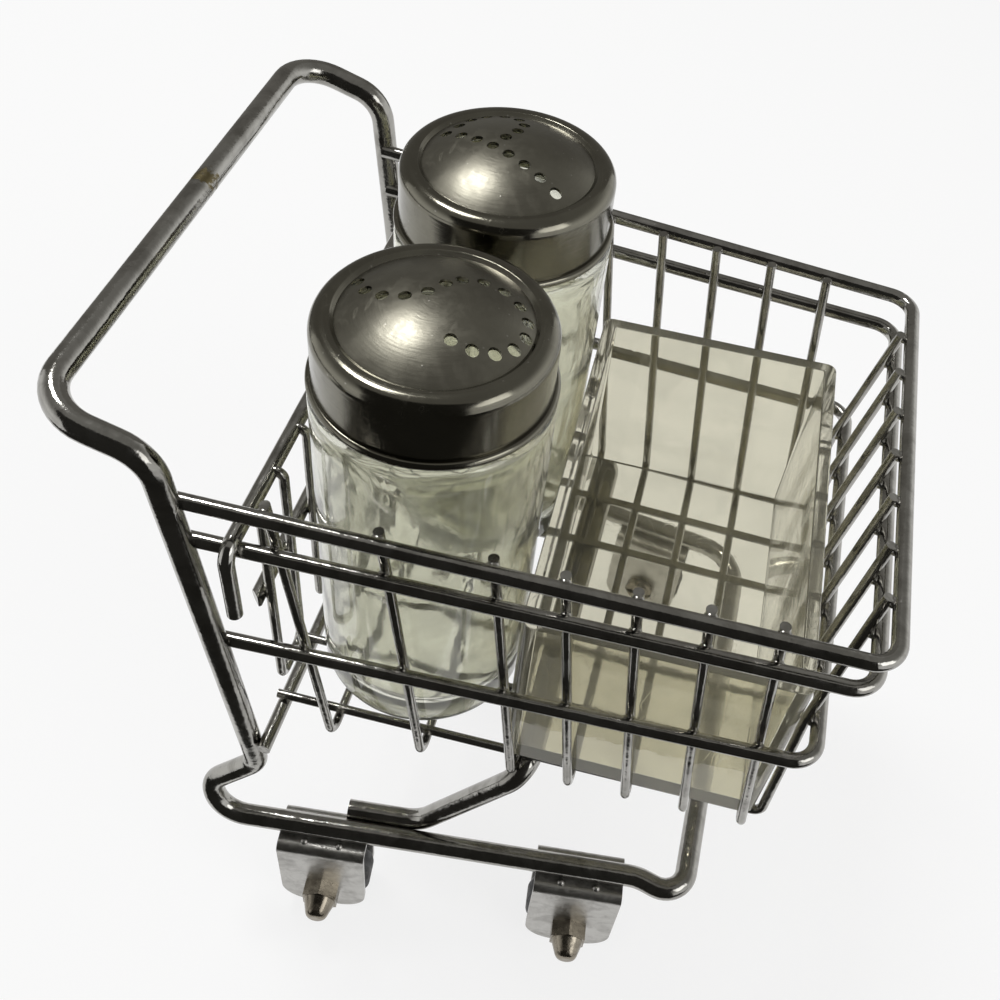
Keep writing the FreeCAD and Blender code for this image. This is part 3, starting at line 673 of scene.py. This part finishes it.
class Workshop:
    """Meshes made by Blender's own operators, one piece at a time."""

    def clear(self) -> None:
        """Leave edit mode and deselect everything."""
        if bpy.context.object and bpy.context.object.mode != "OBJECT":
            bpy.ops.object.mode_set(mode="OBJECT")
        bpy.ops.object.select_all(action="DESELECT")

    def pick(self, piece: bpy.types.Object) -> None:
        """Select one piece alone and make it active.

        Args:
            piece: the piece.
        """
        self.clear()
        piece.select_set(True)
        bpy.context.view_layer.objects.active = piece

    def settle(self, piece: bpy.types.Object) -> None:
        """Put the piece's place, turn and scale into its mesh."""
        self.pick(piece)
        bpy.ops.object.transform_apply(location=True, rotation=True, scale=True)

    def smooth(self, piece: bpy.types.Object, angle: float = SMOOTH_ANGLE) -> None:
        """Shade the piece smooth except at sharp edges."""
        self.pick(piece)
        bpy.ops.object.shade_smooth_by_angle(angle=angle)

    def choose(self, element: Element, wanted: Callable[[object], bool]) -> None:
        """Select only some faces or edges of the active piece.

        Args:
            element: which kind is selected.
            wanted: says of each one whether it is wanted.
        """
        with editing("DESELECT", element.name):
            pass
        for one in getattr(bpy.context.object.data, element.value):
            one.select = wanted(one)

    def close(self, piece: bpy.types.Object) -> None:
        """Merge doubles, close holes and point faces outward.

        Args:
            piece: a closed shell.
        """
        self.pick(piece)
        with editing():
            bpy.ops.mesh.remove_doubles(threshold=MERGE_GAP)
            bpy.ops.mesh.fill_holes(sides=0)
            bpy.ops.mesh.select_all(action="SELECT")
            bpy.ops.mesh.normals_make_consistent(inside=False)

    def modify(self, piece: bpy.types.Object, kind: str, **settings: object) -> None:
        """Add a modifier to the piece and apply it.

        Args:
            piece: the piece.
            kind: the modifier's type.
            settings: the modifier's attributes.
        """
        modifier = piece.modifiers.new(kind.lower(), kind)
        for key, value in settings.items():
            setattr(modifier, key, value)
        self.pick(piece)
        bpy.ops.object.modifier_apply(modifier=modifier.name)

    def turned(self, name: str, profile: Profile, centre: Vector, segments: int) -> bpy.types.Object:
        """Turn a closed profile about a vertical axis, ring by ring.

        Args:
            name: the piece's name.
            profile: (radius, height) points, from the lower middle round to the inner middle.
            centre: a point on the axis.
            segments: points round each ring.

        Returns:
            The turned piece.
        """
        self.clear()
        radius, height = profile[0]
        bpy.ops.mesh.primitive_circle_add(vertices=segments, radius=radius,
                                          location=(centre.x, centre.y, height))
        piece = bpy.context.object
        piece.name = name
        with editing("SELECT", "EDGE"):
            for next_radius, next_height in profile[1:]:
                ratio = next_radius / radius
                bpy.ops.mesh.extrude_region_move(
                    TRANSFORM_OT_translate={"value": (0, 0, next_height - height)})
                bpy.ops.transform.resize(value=(ratio, ratio, 1),
                                         center_override=(centre.x, centre.y, next_height))
                radius, height = next_radius, next_height
        self.settle(piece)
        self.close(piece)
        return piece

    def copies(self, model: bpy.types.Object, name: str, places: list[Place]) -> bpy.types.Object:
        """Copy a small model to many places and join the copies.

        Args:
            model: the shape, modelled at the origin with its length along Z. It is removed.
            name: the joined piece's name.
            places: for each copy its point, the direction of its Z, and its scale.

        Returns:
            The joined piece.
        """
        made = []
        for point, direction, scale in places:
            copy = model.copy()
            copy.data = model.data.copy()
            copy.location = point
            copy.rotation_mode = "QUATERNION"
            copy.rotation_quaternion = direction.to_track_quat("Z", "Y")
            copy.scale = (scale, scale, scale)
            bpy.context.scene.collection.objects.link(copy)
            made.append(copy)
        bpy.data.objects.remove(model)
        self.clear()
        for copy in made:
            copy.select_set(True)
        bpy.context.view_layer.objects.active = made[0]
        bpy.ops.object.join()
        piece = bpy.context.object
        piece.name = name
        self.settle(piece)
        return piece


def arc(centre: tuple[float, float], radius: float, start: float, end: float, steps: int) -> Profile:
    """Return an arc of a profile in that many spans, from start to end in degrees: 0 outward, 90 up."""
    angles = [math.radians(start + (end - start) * step / steps) for step in range(steps + 1)]
    return [(centre[0] + radius * math.cos(a), centre[1] + radius * math.sin(a)) for a in angles]


def rise(radius: float, start: float, end: float, steps: int) -> Profile:
    """Return the points between the ends of a profile's upright line, neither end included."""
    return [(radius, start + (end - start) * step / steps) for step in range(1, steps)]


# ---------------- sub-assemblies
@dataclass
class Assembly:
    """A sub-assembly of the cart, with the workshop and the effects that it is made by."""

    workshop: Workshop
    effects: Effects

    def paint(self, piece: bpy.types.Object, material: bpy.types.Material) -> None:
        """Give a piece its only material.

        Args:
            piece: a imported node's object or a new piece.
            material: its material.
        """
        piece.data.materials.clear()
        piece.data.materials.append(material)
        LOG.info("%s: %s", piece.name, material.name)

    def dress(self, finish: Finish, *nodes: str) -> bpy.types.Material:
        """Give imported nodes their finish.

        Args:
            finish: the finish that they share.
            nodes: their names.

        Returns:
            The finish's material.
        """
        material = finish.make(self.effects)
        for node in nodes:
            self.paint(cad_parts[node], material)
        return material

    def attach(self, piece: bpy.types.Object, body: str, slot: str, material: bpy.types.Material) -> None:
        """Give a new piece its finish and the body that it moves with.

        Args:
            piece: the new piece.
            body: the body that carries it.
            slot: not used.
            material: its material.
        """
        self.paint(piece, material)
        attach(piece, body)


@dataclass
class RimLine:
    """The straight side run of one basket rim."""

    node: str
    rises_forward: bool = False
    wire_radius: float = 1.5 * MM

    def __post_init__(self) -> None:
        """Read the rim's ends from its node."""
        low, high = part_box(self.node)
        self.rear_x = low.x
        self.front_x = high.x - self.wire_radius
        heights = (low.z + self.wire_radius, high.z - self.wire_radius)
        self.front_z, self.rear_z = reversed(heights) if self.rises_forward else heights

    def height(self, x: float) -> float:
        """Return the height of the rim's centre line at x."""
        return self.rear_z + (self.front_z - self.rear_z) * (x - self.rear_x) / (self.front_x - self.rear_x)


@dataclass
class Basket(Assembly):
    """The chrome wire basket and frame: finishes for its wires, and the welds that hold them.

    The lengthways wires fan in: the outermost one stands out by rear_span at the handle end, by
    foot_span where it turns up at the front, and by tip_span at its top. side_reach and front_reach
    are how far outside a side wire's line and inside a rim's front line their welds sit.
    """

    mesh_radius: float = 1.0 * MM
    weld_radius: float = 1.15 * MM
    weld_shape: Triple = (0.82, 0.82, 1.15)
    weld_roughness: float = 0.06 * MM
    floor_weld_scale: float = 0.75
    side_reach: float = 0.9 * MM
    front_reach: float = 1.575 * MM
    cross_wires: int = 7
    front_wires: int = 7
    rear_span: float = 46.5 * MM
    foot_span: float = 43.2 * MM
    tip_span: float = 35.1 * MM

    def wire_nodes(self) -> list[str]:
        """Return the names of the nodes that are plain wire."""
        return (["support_wire", "rim_top", "rim_middle", "rim_lower", "rear_floor_bar"]
                + [f"cross_wire_{number + 1}" for number in range(self.cross_wires)]
                + [f"front_wire_{number + 1}" for number in range(self.front_wires)])

    def rims(self) -> list[RimLine]:
        """Return the rims, from the top one down."""
        return [RimLine("rim_top"), RimLine("rim_middle"), RimLine("rim_lower", rises_forward=True)]

    def shares(self) -> list[float]:
        """Return how far out each lengthways wire lies, from -1 at the near side to 1."""
        return [2 * number / (self.front_wires - 1) - 1 for number in range(self.front_wires)]

    def side_wire(self, number: int, height: float) -> Vector:
        """Find a point on the near side run of a cross wire.

        Args:
            number: which cross wire, from 1 at the handle end.
            height: the height of the point.

        Returns:
            The point on its centre line.
        """
        low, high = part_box(f"cross_wire_{number}")
        foot = Vector((high.x - self.mesh_radius, 0, low.z + self.mesh_radius))
        tip = Vector((low.x + self.mesh_radius, low.y + self.mesh_radius, high.z))
        share = (height - foot.z) / (tip.z - foot.z)
        return Vector((foot.x + (tip.x - foot.x) * share, tip.y, height))

    def side_welds(self) -> list[Place]:
        """Place the welds between the cross wires' side runs and the rims.

        Returns:
            Their places, on both sides.
        """
        places = []
        for number in range(1, self.cross_wires + 1):
            for rim in self.rims():
                guess = self.side_wire(number, rim.rear_z)
                point = self.side_wire(number, rim.height(guess.x))
                for side in Side:
                    spot = Vector((point.x, side.value * (abs(point.y) + self.side_reach), point.z))
                    places.append((spot, Vector((1, 0, 0.1)), 1.0))
        return places

    def front_welds(self) -> list[Place]:
        """Place the welds between the front wires and the rims' front bars.

        Returns:
            Their places.
        """
        places = []
        low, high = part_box("front_wire_1")
        foot_z = low.z + self.mesh_radius
        for share in self.shares():
            for rim in self.rims():
                climb = (rim.front_z - foot_z) / (high.z - foot_z)
                span = self.foot_span + (self.tip_span - self.foot_span) * climb
                spot = Vector((rim.front_x - self.front_reach, share * span, rim.front_z))
                places.append((spot, Vector((0, 1, 0)), 1.0))
        return places

    def floor_welds(self) -> list[Place]:
        """Place the smaller welds where the lengthways wires lie on the cross wires.

        Returns:
            Their places.
        """
        places = []
        rear_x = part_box(f"front_wire_{self.front_wires // 2 + 1}")[0].x
        front_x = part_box(f"cross_wire_{self.cross_wires}")[1].x
        for number in range(1, self.cross_wires + 1):
            low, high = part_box(f"cross_wire_{number}")
            x, z = high.x - self.mesh_radius, low.z + 2 * self.mesh_radius
            for share in self.shares():
                span = self.rear_span + (self.foot_span - self.rear_span) * (x - rear_x) / (front_x - rear_x)
                places.append((Vector((x, share * span, z)), Vector((1, 1, 0)), self.floor_weld_scale))
        return places

    def weld(self) -> bpy.types.Object:
        """Model one small weld nugget, squashed and uneven, at the origin.

        Returns:
            The nugget.
        """
        self.workshop.clear()
        bpy.ops.mesh.primitive_ico_sphere_add(subdivisions=2, radius=self.weld_radius)
        nugget = bpy.context.object
        with editing():
            bpy.ops.transform.resize(value=self.weld_shape)
            bpy.ops.transform.vertex_random(offset=self.weld_roughness, seed=4)
        self.workshop.smooth(nugget, math.radians(80))
        return nugget

    def build(self) -> None:
        """Dress the wires, brackets and wheels, and add the welds."""
        wire = self.dress(BrightWire(name="wire_chrome_bright"), *self.wire_nodes())
        self.dress(BrightWire(name="frame_chrome_worn", spot=WornSpot()), "frame_wire")
        corners = [f"{end}_{side.name.lower()}" for end in ("rear", "front") for side in Side]
        self.dress(PlateSteel(name="bracket_chrome"), *(f"bracket_{corner}" for corner in corners))
        self.dress(PlateSteel(name="fastener_nickel", clear=(0.29, 0.26, 0.21), dull=(0.17, 0.15, 0.12),
                              clean=0.16, greasy=0.28, stretch=(1.0, 1.0, 1.0)), "axle_bolts", "acorn_nuts")
        self.dress(WheelRubber(), *(f"wheel_{corner}" for corner in corners))
        places = self.side_welds() + self.front_welds() + self.floor_welds()
        welds = self.workshop.copies(self.weld(), "basket_welds", places)
        self.attach(welds, "cart", "wire_chrome", wire)


@dataclass
class Gate(Assembly):
    """The swinging wire gate at the handle end."""

    hairpins: int = 5

    def build(self) -> None:
        """Dress the gate's bars and hairpins."""
        self.dress(BrightWire(name="gate_chrome", clear=(0.41, 0.402, 0.378)), "gate_hinge_bar",
                   "gate_middle_bar", *(f"gate_hairpin_{number + 1}" for number in range(self.hairpins)))


@dataclass
class Shaker(Assembly):
    """One glass shaker with its spun cap.

    The jar stands on a ring with its bottom pushed up inside it. cap_edge is how far in from
    the cap's side its dome starts.
    """

    contents: Contents
    segments: int = 128
    wall_steps: int = 24
    neck_steps: int = 6
    wall: float = 2.6 * MM
    base: float = 5.0 * MM
    base_round: float = 5.0 * MM
    heel: float = 2.5 * MM
    foot_ring: float = 0.8 * MM
    foot_inset: float = 2.2 * MM
    foot_round: float = 0.1 * MM
    push_up: float = 1.1 * MM
    pole: float = 0.02 * MM
    shoulder: float = 2.0 * MM
    neck_length: float = 13.5 * MM
    neck_inset: float = 2.6 * MM
    neck_round: float = 0.4 * MM
    lip: float = 1.0 * MM
    mouth_round: float = 0.5 * MM
    thread_start: float = 2.6 * MM
    thread_radius: float = 0.7 * MM
    thread_pitch: float = 4.4 * MM
    thread_turns: float = 1.6
    wave: float = 0.12 * MM
    wave_length: float = 15.0 * MM
    cap_edge: float = 5.4 * MM

    def __post_init__(self) -> None:
        """Read the jar's place and size from its node."""
        low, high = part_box(f"shaker_jar_{self.contents.value}")
        self.radius = (high.x - low.x) / 2
        self.centre = Vector(((low.x + high.x) / 2, (low.y + high.y) / 2, 0))
        self.foot_z = low.z
        self.lip_z = high.z
        self.shoulder_z = self.lip_z - self.neck_length
        self.neck = self.radius - self.neck_inset

    def outside(self) -> Profile:
        """Draw the outside.

        Returns:
            Its profile, from under the middle up to the lip.
        """
        foot, top = self.foot_z, self.shoulder_z
        ring = self.radius - self.heel - self.foot_inset
        points = [(self.pole, foot + self.push_up), (ring * 0.5, foot + self.push_up * 0.9),
                  (ring * 0.85, foot + self.push_up * 0.45), (ring, foot + self.foot_round),
                  (ring + self.foot_ring, foot)]
        points += arc((self.radius - self.heel, foot + self.heel), self.heel, -90, 0, 10)
        points += rise(self.radius, foot + self.heel, top - self.shoulder, self.wall_steps)
        points += arc((self.radius - self.shoulder, top - self.shoulder), self.shoulder, 0, 84, 8)
        points += [(self.neck + 0.25 * MM, top + self.pole), (self.neck, top + self.neck_round)]
        points += rise(self.neck, top, self.lip_z - self.lip, self.neck_steps)
        points += arc((self.neck - self.lip, self.lip_z - self.lip), self.lip, 0, 90, 6)
        return points

    def inside(self) -> Profile:
        """Draw the inside.

        Returns:
            Its profile, from the mouth down to the middle of the floor.
        """
        mouth, belly = self.neck - self.wall, self.radius - self.wall
        floor, top = self.foot_z + self.base, self.shoulder_z
        wall_top = top - self.wall * 1.7
        points = arc((mouth + self.mouth_round, self.lip_z - self.mouth_round), self.mouth_round, 90, 180, 4)
        points += [(mouth, top + 6.0 * MM), (mouth, top + 1.0 * MM), (mouth + 0.5 * MM, top - 0.8 * MM),
                   (belly - 0.7 * MM, top - self.wall * 0.8), (belly, wall_top)]
        points += rise(belly, wall_top, floor + self.base_round, self.wall_steps)
        points += arc((belly - self.base_round, floor + self.base_round), self.base_round, 0, -90, 12)
        points += [(belly * 0.45, floor - 0.05 * MM), (self.pole, floor + 0.35 * MM)]
        return points

    def wavy_inside(self, jar: bpy.types.Object) -> None:
        """Give the inner wall the waves of pressed glass.

        Args:
            jar: the turned jar.
        """
        group = jar.vertex_groups.new(name="inner_wall")
        middle = self.radius - self.wall * 0.6
        lowest, highest = self.foot_z + self.base * 0.8, self.shoulder_z - self.wall
        for vertex in jar.data.vertices:
            if (vertex.co - self.centre).to_2d().length < middle and lowest < vertex.co.z < highest:
                group.add([vertex.index], 1.0, "REPLACE")
        pattern = bpy.data.textures.new(f"glass_wave_{self.contents.value}", "CLOUDS")
        pattern.noise_scale = self.wave_length
        pattern.noise_depth = 1
        self.workshop.modify(jar, "DISPLACE", texture=pattern, texture_coords="LOCAL",
                             vertex_group=group.name, strength=4 * self.wave, mid_level=0.5)
        jar.vertex_groups.clear()

    def thread(self) -> bpy.types.Object:
        """Sweep a round bead along a helix on the neck, as its screw thread.

        Returns:
            The thread.
        """
        self.workshop.clear()
        bpy.ops.mesh.primitive_circle_add(vertices=14, radius=self.thread_radius)
        bead = bpy.context.object
        with editing():
            bpy.ops.transform.rotate(value=math.radians(90), orient_axis="X", center_override=(0, 0, 0))
            bpy.ops.transform.translate(value=(self.neck, 0, 0))
        self.workshop.modify(bead, "SCREW", angle=2 * math.pi * self.thread_turns, steps=120,
                             render_steps=120, screw_offset=self.thread_pitch * self.thread_turns)
        bead.location = self.centre + Vector((0, 0, self.shoulder_z + self.thread_start))
        self.workshop.settle(bead)
        self.workshop.close(bead)
        return bead

    def build(self) -> None:
        """Model the jar and dress the cap."""
        kind = self.contents.value
        jar = self.workshop.turned(f"glass_jar_{kind}", self.outside() + self.inside(), self.centre,
                                   self.segments)
        self.wavy_inside(jar)
        bead = self.thread()
        self.workshop.modify(jar, "BOOLEAN", operation="UNION", solver="EXACT", object=bead)
        bpy.data.objects.remove(bead)
        self.workshop.close(jar)
        self.workshop.smooth(jar)
        glass = PressedGlass(name=f"pressed_glass_{kind}", centre=self.centre).make(self.effects)
        self.attach(jar, f"jar_{kind}", "shaker_glass", glass)
        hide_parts(f"shaker_jar_{kind}")
        cap = f"shaker_cap_{kind}"
        low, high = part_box(cap)
        dome_reach = (high.x - low.x) / 2 - self.cap_edge
        self.dress(SpunCap(name=f"spun_cap_{kind}", centre=self.centre, dome_reach=dome_reach), cap)


@dataclass
class PacketHolder(Assembly):
    """Clear open-topped box for sugar packets, standing a little askew."""

    wall: float = 2.8 * MM
    edge_round: float = 0.35 * MM
    corner_round: float = 2.2 * MM
    sharp: float = math.radians(50)
    turn: float = math.radians(1.3)

    def size(self) -> Vector:
        """Work out the box before it is turned from its node's bounds.

        Returns:
            Its length, width and height.
        """
        low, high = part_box("packet_holder")
        reach = high - low
        rounds = 2 * self.corner_round
        across, along = math.sin(self.turn), math.cos(self.turn)
        square = along ** 2 - across ** 2
        bound_x, bound_y = reach.x - rounds, reach.y - rounds
        length = (bound_x * along - bound_y * across) / square + rounds
        width = (bound_y * along - bound_x * across) / square + rounds
        return Vector((length, width, reach.z))

    def upright(self, box: bpy.types.Object, edge: bpy.types.MeshEdge) -> bool:
        """Say whether an edge is one of the four outer upright ones.

        Args:
            box: the box, centred on the origin.
            edge: one of its edges.

        Returns:
            True for an outer upright edge.
        """
        size = self.size()
        ends = [box.data.vertices[index].co for index in edge.vertices]
        outer = all(abs(end.x) > size.x / 2 - MM / 10 and abs(end.y) > size.y / 2 - MM / 10 for end in ends)
        return outer and abs(ends[0].z - ends[1].z) > size.z / 2

    def build(self) -> None:
        """Model the box with softened edges."""
        workshop, size = self.workshop, self.size()
        low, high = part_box("packet_holder")
        workshop.clear()
        bpy.ops.mesh.primitive_cube_add(size=1, scale=size)
        box = bpy.context.object
        box.name = "acrylic_packet_holder"
        workshop.settle(box)
        workshop.choose(Element.FACE, lambda face: face.normal.z > 0.9)
        with editing(selected=""):
            bpy.ops.mesh.inset(thickness=self.wall)
            bpy.ops.mesh.extrude_region_move(TRANSFORM_OT_translate={"value": (0, 0, self.wall - size.z)})
        workshop.choose(Element.EDGE, lambda edge: self.upright(box, edge))
        with editing(selected=""):
            bpy.ops.mesh.bevel(offset=self.corner_round, segments=6)
        workshop.close(box)
        workshop.modify(box, "BEVEL", width=self.edge_round, segments=3, limit_method="ANGLE",
                        angle_limit=self.sharp)
        box.rotation_euler = (0, 0, self.turn)
        box.location = (low + high) / 2
        workshop.settle(box)
        workshop.smooth(box, self.sharp)
        workshop.modify(box, "WEIGHTED_NORMAL", weight=100)
        self.attach(box, "packet_holder", "clear_acrylic", ClearAcrylic().make(self.effects))
        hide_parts("packet_holder")


# ---------------- studio
@dataclass
class Lamp:
    """One soft square lamp aimed at the cart; share is its part of the light on a surface that faces it."""

    name: str
    direction: Triple
    distance: float
    size: float
    share: float

    def build(self, target: Vector) -> None:
        """Hang the lamp.

        Args:
            target: the point that it is aimed at.
        """
        data = bpy.data.lights.new(self.name, "AREA")
        data.shape = "SQUARE"
        data.size = self.size
        data.energy = self.share * math.pi ** 2 * self.distance ** 2
        lamp = bpy.data.objects.new(self.name, data)
        heading = Vector(self.direction).normalized()
        lamp.location = target + heading * self.distance
        lamp.rotation_euler = heading.to_track_quat("Z", "Y").to_euler()
        lamp.visible_camera = False
        bpy.context.scene.collection.objects.link(lamp)


@dataclass
class Studio:
    """Camera, plain pale floor, soft lamps, a pale room, and dark cards for the metal to mirror."""

    workshop: Workshop
    camera_place: Triple = (24.57 * MM, -164.11 * MM, 288.35 * MM)
    camera_turn: Triple = (41.43, -4.17, 14.76)
    focal_length: float = 41.35
    shift: tuple[float, float] = (-0.0061, -0.0275)
    floor_size: float = 6.0
    floor_paper: Triple = (0.93, 0.93, 0.925)
    floor_glow: float = 0.80
    horizon: Triple = (1.0, 1.0, 0.99)
    zenith: Triple = (0.27, 0.265, 0.25)
    ambient: float = 0.40
    # card_dark and screen_dark: glow of the cards that paint dark reflections into the metal; nothing else
    # sees them
    card_dark: Triple = (0.030, 0.029, 0.026)
    card_place: Triple = (0, -0.225, 2 * MM)
    card_size: tuple[float, float] = (0.62, 0.27)
    card_rise: Triple = (0, 0, 0.30)
    card_lean: Triple = (0, 0.17, 0.20)
    screen_dark: Triple = (0.21, 0.203, 0.188)
    screen_place: Triple = (-0.16, 0.42, 0.312)
    screen_size: tuple[float, float] = (1.0, 0.62)
    screen_turn: float = 30.0

    def camera(self) -> None:
        """Place the camera."""
        data = bpy.data.cameras.new("camera")
        data.sensor_width = 36.0
        data.lens = self.focal_length
        data.shift_x, data.shift_y = self.shift
        data.clip_start = 0.01
        data.clip_end = 20.0
        eye = bpy.data.objects.new("camera", data)
        eye.location = self.camera_place
        eye.rotation_euler = tuple(math.radians(angle) for angle in self.camera_turn)
        bpy.context.scene.collection.objects.link(eye)
        bpy.context.scene.camera = eye

    def seen(self, sheet: NodeSheet) -> Socket:
        """Return a mask of the rays that look at the background: direct, mirrored or through glass."""
        path = sheet.node("LightPath").outputs
        return sheet.maths("MAXIMUM", path["Is Camera Ray"],
                           sheet.maths("MAXIMUM", path["Is Glossy Ray"], path["Is Transmission Ray"]))

    def painted(self, piece: bpy.types.Object, name: str) -> NodeSheet:
        """Name a piece of the studio, stage it and give it an empty material.

        Args:
            piece: the floor or a card.
            name: its name and its material's.

        Returns:
            The material's sheet.
        """
        piece.name = name
        material = bpy.data.materials.new(name)
        material.use_nodes = True
        material.node_tree.nodes.clear()
        piece.data.materials.append(material)
        piece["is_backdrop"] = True
        return NodeSheet(material.node_tree)

    def floor(self) -> None:
        """Lay the floor: it keeps the cart's shadow and is otherwise near white."""
        self.workshop.clear()
        bpy.ops.mesh.primitive_plane_add(size=self.floor_size)
        sheet = self.painted(bpy.context.object, "floor")
        paper = sheet.node("BsdfDiffuse", rgba(self.floor_paper)).outputs[0]
        glow = sheet.node("Emission", WHITE).outputs[0]
        share = sheet.maths("MULTIPLY", self.seen(sheet), self.floor_glow)
        sheet.node("OutputMaterial", sheet.node("MixShader", share, paper, glow).outputs[0])

    def room(self) -> None:
        """Set the world: even soft light, and a room that is pale low down and darker overhead."""
        world = bpy.data.worlds.new("room")
        bpy.context.scene.world = world
        world.use_nodes = True
        sheet = NodeSheet(world.node_tree)
        climb = sheet.spread(sheet.split(sheet.node("TexCoord").outputs["Generated"])["Z"], 0.10, 0.75)
        view = sheet.blend(climb, rgba(self.horizon), rgba(self.zenith))
        mirrored = sheet.blend(sheet.node("LightPath").outputs["Is Camera Ray"], view, WHITE)
        seen = self.seen(sheet)
        sheet.fed(world.node_tree.nodes["Background"], Color=sheet.blend(seen, WHITE, mirrored),
                  Strength=sheet.spread(seen, 0.0, 1.0, self.ambient, 1.0))

    def card(self) -> None:
        """Stand a dark card on the near side, seen only in reflections, so that the metal has dark sides: a
        painted dark reflection.

        It lies on the floor in front of the cart, stands up, and leans back over it.
        """
        self.workshop.clear()
        bpy.ops.mesh.primitive_plane_add(size=1, location=self.card_place)
        card = bpy.context.object
        with editing():
            bpy.ops.transform.resize(value=(*self.card_size, 1))
        ends = card.data.vertices
        self.workshop.choose(Element.EDGE, lambda edge: all(ends[index].co.y < 0 for index in edge.vertices))
        with editing(selected=""):
            for step in (self.card_rise, self.card_lean):
                bpy.ops.mesh.extrude_region_move(TRANSFORM_OT_translate={"value": step})
        self.darken(card, "dark_card", self.card_dark)

    def screen(self) -> None:
        """Stand a second dark card behind the handle, on the far side: a painted dark reflection, seen only
        in the metal.
        """
        self.workshop.clear()
        bpy.ops.mesh.primitive_plane_add(size=1, location=self.screen_place,
                                         rotation=(math.radians(90), 0, math.radians(self.screen_turn)))
        card = bpy.context.object
        card.scale = (*self.screen_size, 1)
        self.darken(card, "dark_screen", self.screen_dark)

    def darken(self, card: bpy.types.Object, name: str, shade: Triple) -> None:
        """Paint a card, and hide it from all but mirrored rays, so that it is only a painted reflection: it
        casts no shadow.

        Args:
            card: the card.
            name: its name.
            shade: its colour.
        """
        sheet = self.painted(card, name)
        sheet.node("OutputMaterial", sheet.node("Emission", rgba(shade)).outputs[0])
        card.visible_camera = card.visible_diffuse = card.visible_transmission = False
        card.visible_shadow = card.visible_volume_scatter = False

    def build(self) -> None:
        """Set the camera, floor, cards, room, lamps and view."""
        self.camera()
        self.floor()
        self.card()
        self.screen()
        self.room()
        low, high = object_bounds()
        target = (Vector(low) + Vector(high)) / 2
        Lamp("key", (-0.366, 0.243, 0.898), distance=0.97, size=0.24, share=0.42).build(target)
        Lamp("fill", (0.75, -0.35, 0.55), distance=1.00, size=0.50, share=0.19).build(target)
        bpy.context.scene.view_settings.view_transform = "Standard"
        LOG.info("studio set")


def main() -> None:
    """Build the pieces in order, then the studio."""
    logging.basicConfig(level=logging.INFO, format="%(name)s %(message)s")
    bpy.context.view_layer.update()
    workshop = Workshop()
    effects = {kind: kind() for kind in Effect.__subclasses__()}
    Basket(workshop, effects).build()
    Gate(workshop, effects).build()
    for contents in Contents:
        Shaker(workshop, effects, contents).build()
    PacketHolder(workshop, effects).build()
    Studio(workshop).build()


if __name__ == "__main__":
    main()
